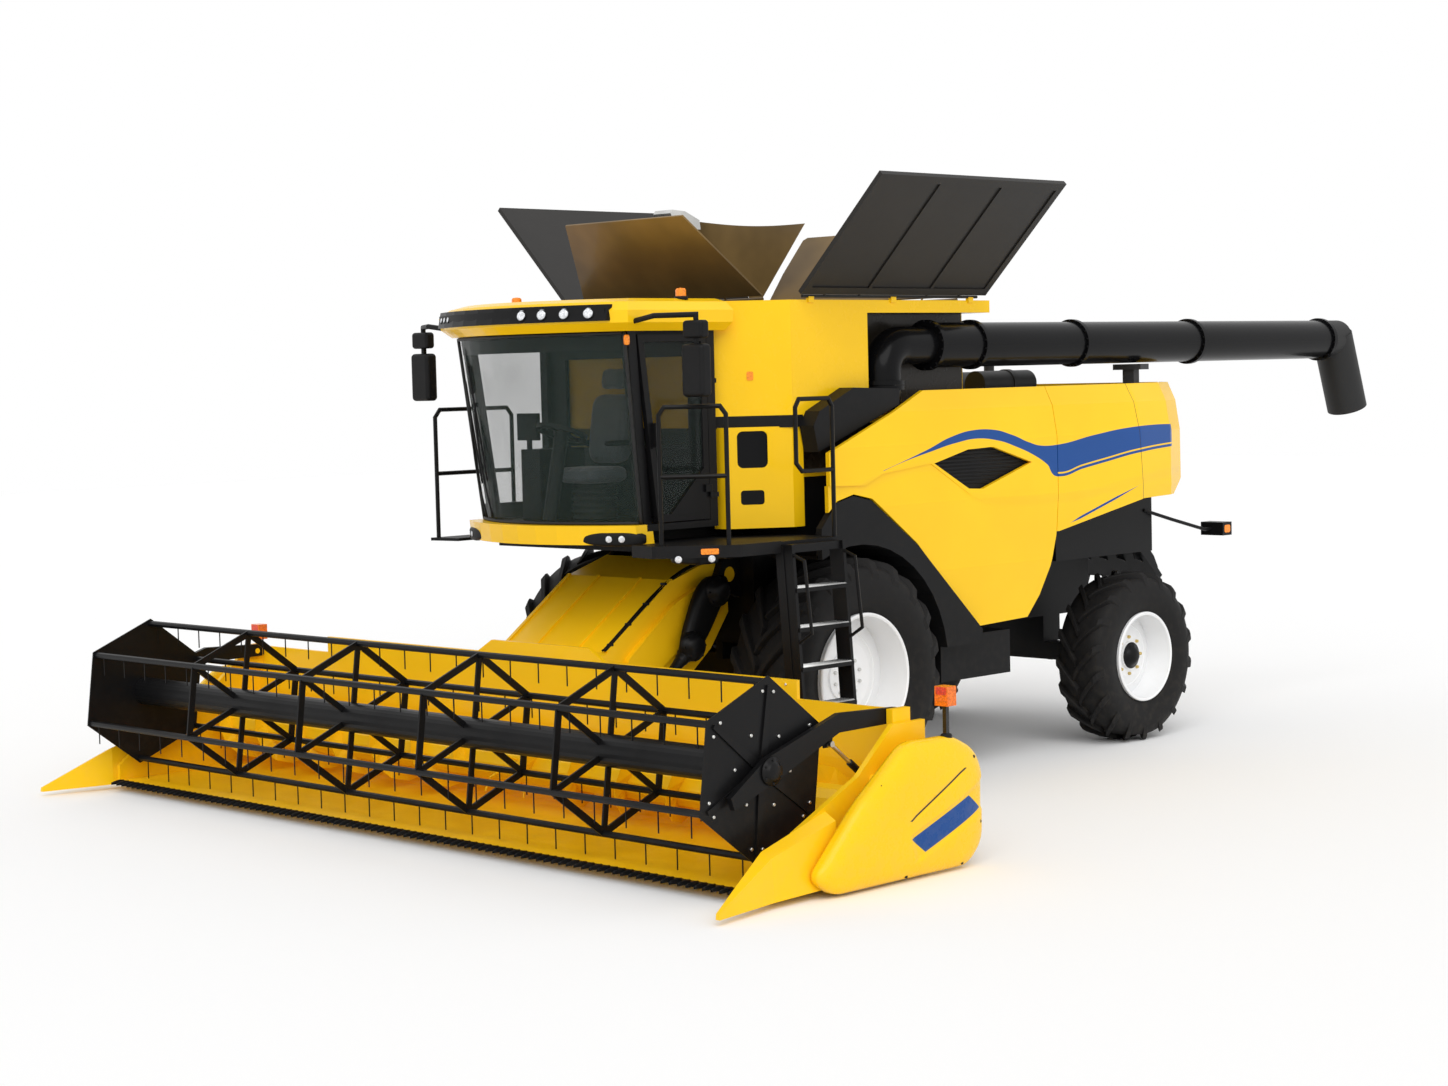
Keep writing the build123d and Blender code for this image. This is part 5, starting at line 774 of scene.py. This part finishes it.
def screen_point(y, z, off):
    """Point on the windscreen at a side distance and a height, moved off it along its normal."""
    y, z = np.broadcast_arrays(np.asarray(y, float), np.asarray(z, float))
    share = (z - 2.21) / 1.43
    half = 0.91 + 0.05 * share
    x = 1.704 + 0.17 * share + 0.33 * (1 - (y / half) ** 2)
    normal = np.stack([np.ones_like(y), 0.66 * y / half ** 2, np.full_like(y, -0.12)], -1)
    normal /= np.linalg.norm(normal, axis=-1, keepdims=True)
    return np.stack([x, y, z], -1) + normal * np.broadcast_to(off, y.shape)[..., None]


def wiper(y0, y1, z0, z1):
    """A wiper: its arm stands off the glass and comes down to a thin blade that lies on it."""
    t = np.linspace(0, 1, 14)
    arm = screen_point(y0 + (y1 - y0) * t * 0.72, z0 + (z1 - z0) * t * 0.72,
                       0.016 + 0.022 * np.sin(np.pi * t))
    blade = screen_point(y0 + (y1 - y0) * (0.25 + 0.75 * t), z0 + (z1 - z0) * (0.25 + 0.75 * t), 0.010)
    return [tube(arm, 0.0075, 8), tube(blade, 0.0075, 8)]


blades = np.stack(wiper(-0.50, -0.66, 2.24, 3.42) + wiper(-0.66, -0.82, 2.24, 3.30))
add("wipers", blades, "chassis", black_plastic)
level = np.linspace(0.005, 0.995, 40)
seal_sides = [screen_point(side * (0.905 + 0.05 * level), 2.21 + 1.43 * level, 0.003) for side in (1, -1)]
seal_rows = [screen_point((2 * level - 1) * reach, np.full(40, z), 0.003)
             for reach, z in ((0.95, 3.626), (0.90, 2.222))]
seals = np.stack([tube(path, 0.013, 8) for path in seal_sides + seal_rows])
add("screen_seals", seals, "chassis", soft_rubber)
shade = screen_point((2 * level[:, None] - 1) * 0.93, np.linspace(3.50, 3.625, 6)[None], -0.014)
add("sun_band", shade, "chassis", black_plastic, wrap="")

for side, word in SIDES:
    panes = np.stack([slab(rounded(wide, high, 0.03, (x, side * 1.57, z), ALONG, UP), (0.003, 0, 0))
                      for wide, high, x, z in ((0.17, 0.31, 1.6885, 3.34), (0.15, 0.085, 1.6985, 3.635))])
    add(f"mirror_panes_{word}", panes, "chassis", mirror_glass, smooth=False)


# Operator's seat


def puffed(piece, cap):
    """Padding: an even voxel skin blown up by cloth pressure for twenty frames, each point's way capped."""
    soft = piece.modifiers.new("soft", "SUBSURF")
    soft.levels = soft.render_levels = 1
    piece.modifiers.clear()
    even = piece.modifiers.new("even", "REMESH")
    even.mode = "VOXEL"
    even.voxel_size = 0.006
    skin = bpy.data.meshes.new_from_object(piece.evaluated_get(bpy.context.evaluated_depsgraph_get()))
    piece.modifiers.clear()
    piece.data = skin
    start = np.empty(len(skin.vertices) * 3)
    skin.vertices.foreach_get("co", start)
    cloth = piece.modifiers.new("cloth", "CLOTH")
    cloth.settings.use_pressure = True
    cloth.settings.uniform_pressure_force = 4.0
    cloth.settings.effector_weights.gravity = 0.0
    for moment in range(1, 21):
        bpy.context.scene.frame_set(moment)
    blown = piece.evaluated_get(bpy.context.evaluated_depsgraph_get()).to_mesh()
    end = np.empty(len(blown.vertices) * 3)
    blown.vertices.foreach_get("co", end)
    move = (end - start).reshape(-1, 3)
    length = np.linalg.norm(move, axis=1, keepdims=True)
    move *= np.minimum(1.0, cap / np.maximum(length, 1e-9))
    piece.modifiers.clear()
    skin.vertices.foreach_set("co", start + move.ravel())
    skin.polygons.foreach_set("use_smooth", np.full(len(skin.polygons), True))
    skin.update()
    bpy.context.scene.frame_set(1)
    soft = piece.modifiers.new("soft", "SUBSURF")
    soft.levels = soft.render_levels = 1
    return piece


def seat_pad(name, centre, half, power, lean, crown, wings):
    """Pad: a rounded box sheared along its height, crowned in the middle and raised along both sides."""
    grid = pebble((0, 0, 0), half, power, (26, 48))
    x, y, z = np.moveaxis(grid, -1, 0)
    across, up = y / half[1], z / half[2]
    face = np.clip(x / half[0], 0, 1) if half[0] < half[2] else np.clip(up, 0, 1)
    lift = face * (crown * (1 - across ** 2) + wings * across ** 4)
    if half[0] < half[2]:
        x = x + lift
    else:
        z = z + lift
    pad = surface(name, np.stack([x + lean * z, y, z], -1) + np.asarray(centre, float))
    dress(puffed(outward(pad), 0.010), "chassis", seat_cloth, "cab_seat")


seat_pad("seat_cushion", (1.365, 0, 2.553), (0.215, 0.228, 0.050), 5.0, 0.0, 0.006, 0.020)
seat_pad("seat_back", (1.150, 0, 2.905), (0.052, 0.215, 0.275), 5.0, -0.133, 0.008, 0.022)
seat_pad("seat_head", (1.103, 0, 3.29), (0.030, 0.135, 0.085), 4.0, -0.133, 0.006, 0.008)
turn = np.linspace(0, TAU, 72, endpoint=False)
rise = np.linspace(0, 1, 40)[:, None]
fold = 1 + 0.07 * np.sin(rise * TAU * 6)
bellows = np.stack([1.35 + 0.115 * fold * bent(np.cos(turn), 5.0), 0.165 * fold * bent(np.sin(turn), 5.0),
                    2.212 + 0.285 * rise * np.ones_like(turn)], -1)
add("seat_bellows", closed_ends(bellows), "chassis", soft_rubber, "cab_seat")
rests = mirrored(lambda side: pebble((1.31, side * 0.262, 2.80), (0.15, 0.030, 0.024), 4.0))
stems = mirrored(lambda side: tube(eased([(1.16, side * 0.235, 2.74), (1.13, side * 0.262, 2.77),
                                          (1.20, side * 0.262, 2.79)]), 0.014))
arms = joined("seat_arms", [surface("rests", rests), surface("stems", stems)])
dress(arms, "chassis", black_plastic, "cab_seat")


# Steps, deck edge and tank front

step = np.arange(4)
step_z = 0.82 + 0.29125 * step
step_y = 1.77 - 0.09 * (step_z - 0.76) / 1.285
treads = np.stack([slab(rounded(0.53, 0.136, 0.008, (0.77, y + 0.078, z + 0.0305), (1, 0, 0), ALONG),
                        (0, 0, 0.004)) for y, z in zip(step_y, step_z)])
ridges = np.stack([tube([(0.51, y + back, z + 0.035), (1.03, y + back, z + 0.035)], 0.0045, 8)
                   for y, z in zip(step_y, step_z) for back in (0.022, 0.05, 0.078, 0.106, 0.134)])
alloy_steps = joined("ladder_treads", [surface("treads", treads, smooth=False), surface("ridges", ridges)])
dress(alloy_steps, "chassis", alloy)
cheek = np.array([(1.655, 2.03), (1.735, 2.03), (1.83, 0.775), (1.75, 0.775)])
cheeks = np.stack([slab(np.column_stack([np.full(4, x), cheek]), (0.006, 0, 0)) for x in (0.474, 1.060)])
add("ladder_cheeks", cheeks, "chassis", black_satin, smooth=False)
edge = [(1.08, 1.722), (1.48, 1.722), (1.50, 1.72), (1.52, 1.703), (1.94, 1.30), (1.951, 1.282),
        (1.93, 1.16), (1.905, 1.02)]
add("deck_fascia", strip(edge, 1.985, 2.074, -0.010), "chassis", black_plastic, smooth=False)
# The deck reflector wears the amber lens and so glows faintly: painted glow on a part that is no lamp.
reflector = slab(rounded(0.13, 0.042, 0.01, (1.665, 1.579, 2.03), (-0.723, 0.691, 0), UP),
                 (0.0035, 0.0036, 0))
add("deck_reflector", reflector, "chassis", amber, smooth=False)
TANK_BROW = [(0.953, 0.80), (0.953, 0.855), (0.945, 0.868), (0.485, 1.295), (0.47, 1.303), (0.36, 1.303)]
for side, word in SIDES:
    flip = np.array([1.0, side, 1.0])
    brow = strip(TANK_BROW, 2.892, 2.985, -0.008) * flip
    add(f"tank_brow_{word}", brow, "chassis", black_plastic, smooth=False)
    way, out = np.array([-0.820, 0.572, 0]), np.array([0.572, 0.820, 0])
    panes = np.stack([slab(rounded(wide, high, corner, np.array([0.9, 0.99, z]) + way * at - out * 0.030,
                                   way, UP), out * 0.024) * flip
                      for wide, high, corner, at, z in ((0.234, 0.278, 0.044, 0.212, 2.73),
                                                        (0.181, 0.108, 0.024, 0.2065, 2.365))])
    add(f"tank_window_{word}", panes, "chassis", black_gloss, smooth=False)


def corner_web():
    """Rubber cloth between the right cover's rear edge and the rear flap: straight lines from a short foot
    at the hinge to a sagging top edge, bulged to the rear by a sine."""
    across, up = np.linspace(0, 1, 28)[:, None], np.linspace(0, 1, 18)[None]
    foot_y, foot_z = -1.34 + 0.105 * across, 3.935 + 0.02 * across
    top_y, top_z = -2.13 + 1.45 * across, 4.715 - 0.11 * across - 0.035 * np.sin(np.pi * across)
    x = -1.82 - 0.035 * np.sin(np.pi * across) * up
    web = surface("tank_corner_web",
                  np.stack([x, foot_y + (top_y - foot_y) * up, foot_z + (top_z - foot_z) * up], -1), wrap="")
    dress(web, "tank_cover_right", flap_brown)
    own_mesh(web)


def flap_wing():
    """Rubber ear that carries the rear flap's right edge out to the cloth, in the flap's leaning plane."""
    lean = np.array([-0.629, 0, 0.777])
    hinge = np.array([-1.86, 0, 3.876])
    edge = [(0.05, -1.00), (0.05, -1.22), (0.40, -1.235), (0.79, -1.21), (0.82, -1.17), (0.82, -0.66),
            (0.45, -0.83)]
    outline = [hinge + lean * up + np.array([0, y, 0]) for up, y in edge]
    ear = slab(np.array(outline), np.array([0.777, 0, 0.629]) * 0.006)
    add("rear_flap_ear", ear, "tank_flap_rear", flap_brown, smooth=False)


corner_web()
flap_wing()


# Side vents, tube, header and reel fittings

slat_z = np.linspace(2.375, 2.635, 10)
slat_front = np.interp(slat_z, [2.34, 2.56, 2.655, 2.665], [-1.30, -0.88, -1.30, -1.62])
slat_rear = np.interp(slat_z, [2.33, 2.52, 2.665], [-1.48, -2.12, -1.62])
slats = np.stack([tube([(a + 0.02, side * 1.503, z), (b - 0.02, side * 1.503, z + 0.006)], 0.0055, 8)
                  for side in (1, -1) for a, b, z in zip(slat_rear, slat_front, slat_z)])
add("vent_slats", slats, "chassis", black_plastic)

ring_bolts = np.concatenate([spots_round((x, 1.25, 3.5), 0.193, 18, 0.022, "x")
                             for x in (-1.16, -1.71, -3.07, -4.79, -6.96)])
add("tube_bolts", studs(ring_bolts, (1, 0, 0), 0.0085, 0.010), "unloader", black_satin, smooth=False)

guard_y = np.arange(-48, 48) * 0.0762 + 0.0381
guard = tube([(3.40, 0, 0.082), (3.44, 0, 0.086), (3.49, 0, 0.083), (3.512, 0, 0.078)],
             [0.013, 0.014, 0.008, 0.003], 8)
guards = guard[None] + np.stack([0 * guard_y, guard_y, 0 * guard_y], -1)[:, None, None]
add("cutter_guards", guards, "header", black_satin)
wall_y = np.concatenate([np.arange(-2.6, -0.7, 0.3), np.arange(0.8, 2.7, 0.3)])
wall_bolts = np.stack([np.full_like(wall_y, 1.9652), wall_y, np.full_like(wall_y, 1.165)], -1)
add("wall_bolts", studs(wall_bolts, (1, 0, 0), 0.010, 0.008), "header", steel, smooth=False)

REEL_X, REEL_Z = 3.2, 0.815
REEL_START = -np.radians(7.4)
for side, word in SIDES:
    places = np.concatenate([spots_round((REEL_X, side * 3.5605, REEL_Z), r, 6, 0.0, "y", REEL_START + shift)
                             for r, shift in ((0.50, 0.1), (0.50, -0.1), (0.25, 0.52))])
    add(f"reel_bolts_{word}", studs(places, (0, side, 0), 0.012, 0.010), "reel", steel, smooth=False)


# End shields

SHIELD = [(3.14, 0.15), (2.96, 0.02), (1.64, 0.02), (1.49, 0.16), (1.48, 0.64), (1.56, 0.79),
          (1.78, 0.90), (2.25, 0.905), (2.72, 0.56)]
SHIELD_MIDDLE = np.array([2.25, 0.42])
SHIELD_Y, SHIELD_BULGE = 3.87, 0.13


def eased_ring(corners, reach, count):
    """Closed outline with each corner replaced by a parabola that starts a reach before it and ends a reach
    after, then points at even distances along it."""
    corners = np.asarray(corners, float)
    back, on = np.roll(corners, 1, 0) - corners, np.roll(corners, -1, 0) - corners
    start, end = (corners + way * np.minimum(reach / np.linalg.norm(way, axis=1, keepdims=True), 0.45)
                  for way in (back, on))
    t = np.linspace(0, 1, 9)[None, :, None]
    ring = (1 - t) ** 2 * start[:, None] + 2 * t * (1 - t) * corners[:, None] + t ** 2 * end[:, None]
    ring = ring.reshape(-1, 2)
    ring = np.concatenate([ring, ring[:1]])
    far = np.concatenate([[0], np.cumsum(np.linalg.norm(np.diff(ring, axis=0), axis=1))])
    at = np.linspace(0, far[-1], count, endpoint=False)
    return np.stack([np.interp(at, far, ring[:, k]) for k in (0, 1)], -1)


def eased_step(value, low, high):
    """Smooth step from nothing at one limit to one at the other."""
    t = np.clip((value - low) / (high - low), 0, 1)
    return t * t * (3 - 2 * t)


def along_bar(plan, bar):
    """Distance along a bar from its start, and distance off its middle line, for points in plan."""
    run = (bar[1] - bar[0]) / np.linalg.norm(bar[1] - bar[0])
    return (plan - bar[0]) @ run, np.abs((plan - bar[0]) @ np.array([-run[1], run[0]]))


def shield_shell(side):
    """End shield: its outline drawn towards a middle by a share, standing out by a superellipse of that
    share. A shallow tray is pressed in along the blank plate, open to the rear, and a groove along the
    dark slash."""
    ring = eased_ring(SHIELD, 0.09, 220)
    share = 1 - np.linspace(0, 1, 70)[1:] ** 1.5
    size = np.concatenate([np.linspace(0, 1, 5), [1.0, 1.0], share])
    out = np.concatenate([np.zeros(5), [0.12, 0.30], 0.30 + 0.70 * (1 - share ** 5) ** 0.5])
    plan = SHIELD_MIDDLE + size[:, None, None] * (ring - SHIELD_MIDDLE)
    at, off = along_bar(plan, PLATE_BAR)
    tray = eased_step(off, 0.105, 0.080) * eased_step(at, -0.07, -0.01)
    at, off = along_bar(plan, SLASH_BAR)
    groove = eased_step(off, 0.030, 0.006) * eased_step(at, 0.0, 0.08) * eased_step(at, 0.64, 0.56)
    front = (np.arange(len(size)) > 6)[:, None]
    y = SHIELD_Y + SHIELD_BULGE * out[:, None] - front * (0.012 * tray + 0.007 * groove)
    return np.stack([plan[..., 0], side * y, plan[..., 1]], -1)


struts = mirrored(lambda side: slab(rounded(0.50, 0.55, 0.04, (2.15, side * 3.74, 0.425), (1, 0, 0), UP),
                                    (0, side * 0.13, 0)))
shields = joined("shield_shells", [surface("shells", mirrored(shield_shell)),
                                   surface("struts", struts, smooth=False)])
dress(shields, "header", shield_yellow, "end_shields")
feet = mirrored(lambda side: pebble((1.815, side * 3.905, 0.893), (0.042, 0.030, 0.026), 3.0, (12, 20)))
add("marker_feet", feet, "header", black_plastic)
screws = np.array([(2.86, 0.075), (2.30, 0.045), (1.74, 0.05), (1.545, 0.30), (1.60, 0.74), (2.16, 0.855),
                   (2.52, 0.66)])
for side, word in SIDES:
    places = np.column_stack([screws[:, 0], np.full(len(screws), side * 3.946), screws[:, 1]])
    heads = studs(places, (0, side, 0), 0.012, 0.016, 10)
    add(f"shield_screws_{word}", heads, "header", black_satin, smooth=False)


# Pipes, header drive and bearings


def pipe(points, radius):
    """Rigid pipe along an eased path."""
    return tube(eased(points, 4), radius, 10)


pipes = np.stack([pipe([(0.66, 0.585 - d, 1.862), (0.72, 0.585 - d, 1.878), (1.115, 0.585 - d, 1.768),
                        (1.79, 0.585 - d, 1.272), (1.82, 0.585 - d, 1.262)], 0.0085)
                  for d in (0.0, 0.026)])
clip_t = np.array([0.10, 0.38, 0.66, 0.94])[:, None]
clip_at = np.array([1.115, 0.572, 1.766]) + clip_t * np.array([0.675, 0.0, -0.496])
clips = np.stack([pebble(at, (0.012, 0.030, 0.010), 6.0, (8, 16)) for at in clip_at])
feeder_pipes = joined("feeder_pipes", [surface("pipes", pipes), surface("clips", clips)])
dress(feeder_pipes, "header", black_satin)


def drive_guard():
    """Header drive on the feeder's left flank: an oblong chain case that leans with the flank, two domed
    gearboxes and a shaft guard whose radius waves at both ends for its rubber bells."""
    case = pebble((0, 0, 0), (0.15, 0.055, 0.30), 3.2, (22, 36))
    x, y, z = np.moveaxis(case, -1, 0)
    case = np.stack([x * (1 + 0.25 * z / 0.30) - 0.55 * z, y, z], -1) + np.array([0.93, 0.722, 1.46])
    dome = [(0.0, 0.078), (0.05, 0.074), (0.085, 0.058), (0.098, 0.030), (0.115, 0.026), (0.12, -0.02)]
    boxes = ((0.80, 0.77, 1.64), (1.075, 0.765, 1.24))
    domes = np.stack([turned(dome, place, ALONG, 36) for place in boxes])
    t = np.linspace(0, 1, 60)
    path = np.array([1.10, 0.735, 1.20]) + t[:, None] * np.array([0.70, 0.02, -0.56])
    bells = np.exp(-(t / 0.11) ** 2) + np.exp(-((1 - t) / 0.11) ** 2)
    guard = tube(path, 0.040 + bells * (0.030 + 0.007 * np.sin(t * TAU * 22)), 20)
    heads = np.concatenate([spots_round(place, 0.108, 8, 0.024) for place in boxes])
    pieces = [surface("case", case), surface("domes", domes, wrap="u"), surface("guard", guard),
              surface("heads", studs(heads, ALONG, 0.010, 0.010), smooth=False)]
    dress(joined("drive_guard", pieces), "header", black_satin)


drive_guard()
blocks = np.stack([pebble((1.18, 0.93, 1.955), (0.20, 0.10, 0.055), 6.0),
                   pebble((0.72, 0.80, 1.95), (0.13, 0.09, 0.06), 6.0),
                   pebble((1.45, 1.20, 1.96), (0.12, 0.16, 0.05), 6.0)])
add("valve_blocks", blocks, "chassis", black_satin)
deck_lines = np.stack([pipe([(0.60, 0.78 + d, 1.965), (0.90, 0.80 + d, 1.95), (1.30, 0.86 + d, 1.965),
                             (1.46, 1.10 + d, 1.965), (1.47, 1.48 + d, 1.975)], 0.011)
                       for d in (0.0, 0.035, 0.07)])
add("deck_lines", deck_lines, "chassis", black_satin)
cap = np.array([(0.062, 0.0), (0.088, 0.0), (0.092, 0.006), (0.090, 0.014), (0.064, 0.020),
                (0.058, 0.034), (0.040, 0.042), (0.0, 0.044)])
for side, word in SIDES:
    housing = surface("housing", turned(cap, (REEL_X, side * 3.641, REEL_Z), (0, side, 0), 40), wrap="u")
    heads = studs(spots_round((REEL_X, side * 3.654, REEL_Z), 0.076, 6, 0.0), (0, side, 0), 0.010, 0.010)
    bearing = joined(f"reel_bearing_{word}", [housing, surface("heads", heads, smooth=False)])
    dress(bearing, "reel_arms", black_satin)
# The tank reflector wears the amber lens and so glows faintly: painted glow on a part that is no lamp.
tank_mark = slab(rounded(0.050, 0.066, 0.012, (0.712, 1.090, 3.289), (-0.733, 0.680, 0), UP),
                 (-0.0082, -0.0088, 0))
add("tank_reflector", tank_mark, "chassis", amber, smooth=False)


# Stage, light and camera


def studio():
    """Pale floor, even white surround, one broad soft lamp and the camera where the photograph was taken."""
    scene = bpy.context.scene
    scene.view_settings.view_transform = "Standard"
    mesh = bpy.data.meshes.new("studio_floor")
    reach = 60.0
    mesh.from_pydata([(-reach, -reach, 0), (reach, -reach, 0), (reach, reach, 0), (-reach, reach, 0)],
                     [], [(0, 1, 2, 3)])
    floor = bpy.data.objects.new("studio_floor", mesh)
    scene.collection.objects.link(floor)
    pale, tree, shader, _ = begin("studio_floor")
    feed(tree, shader, {"Base Color": (0.98, 0.98, 0.98, 1), "Roughness": 0.9, "Specular IOR Level": 0.1})
    mesh.materials.append(pale)
    world = bpy.data.worlds.new("studio")
    scene.world = world
    world.use_nodes = True
    tree = world.node_tree
    light = node(tree, "ShaderNodeLightPath")
    seen = calc(tree, "MAXIMUM", calc(tree, "MAXIMUM", light.outputs["Is Camera Ray"],
                                      light.outputs["Is Glossy Ray"]),
                light.outputs["Is Transmission Ray"])
    sky = tree.nodes["Background"]
    sky.inputs["Color"].default_value = (1, 1, 1, 1)
    tree.links.new(calc(tree, "MULTIPLY_ADD", seen, 0.28, 0.72), sky.inputs["Strength"])
    lamp = bpy.data.lights.new("broad_lamp", "SUN")
    lamp.energy = 1.5
    lamp.angle = 0.9
    sun = bpy.data.objects.new("broad_lamp", lamp)
    sun.rotation_euler = Vector((0.50, 0.58, 0.645)).to_track_quat("Z", "Y").to_euler()
    scene.collection.objects.link(sun)
    camera = bpy.data.cameras.new("photo_camera")
    camera.sensor_width = 36
    camera.lens = 36 * 2559.8 / 1448
    camera.clip_end = 200
    eye = bpy.data.objects.new("photo_camera", camera)
    right, up = (-0.70805, 0.70574, -0.02447), (-0.06396, -0.02959, 0.99751)
    ahead = (-0.70326, -0.70785, -0.06609)
    columns = [right, up, tuple(-a for a in ahead), (14.611 + AXLE_X, 14.756, 3.313)]
    eye.matrix_world = Matrix([[c[row] for c in columns] for row in range(3)] + [[0, 0, 0, 1]])
    scene.collection.objects.link(eye)
    scene.camera = eye


studio()
bpy.context.view_layer.update()
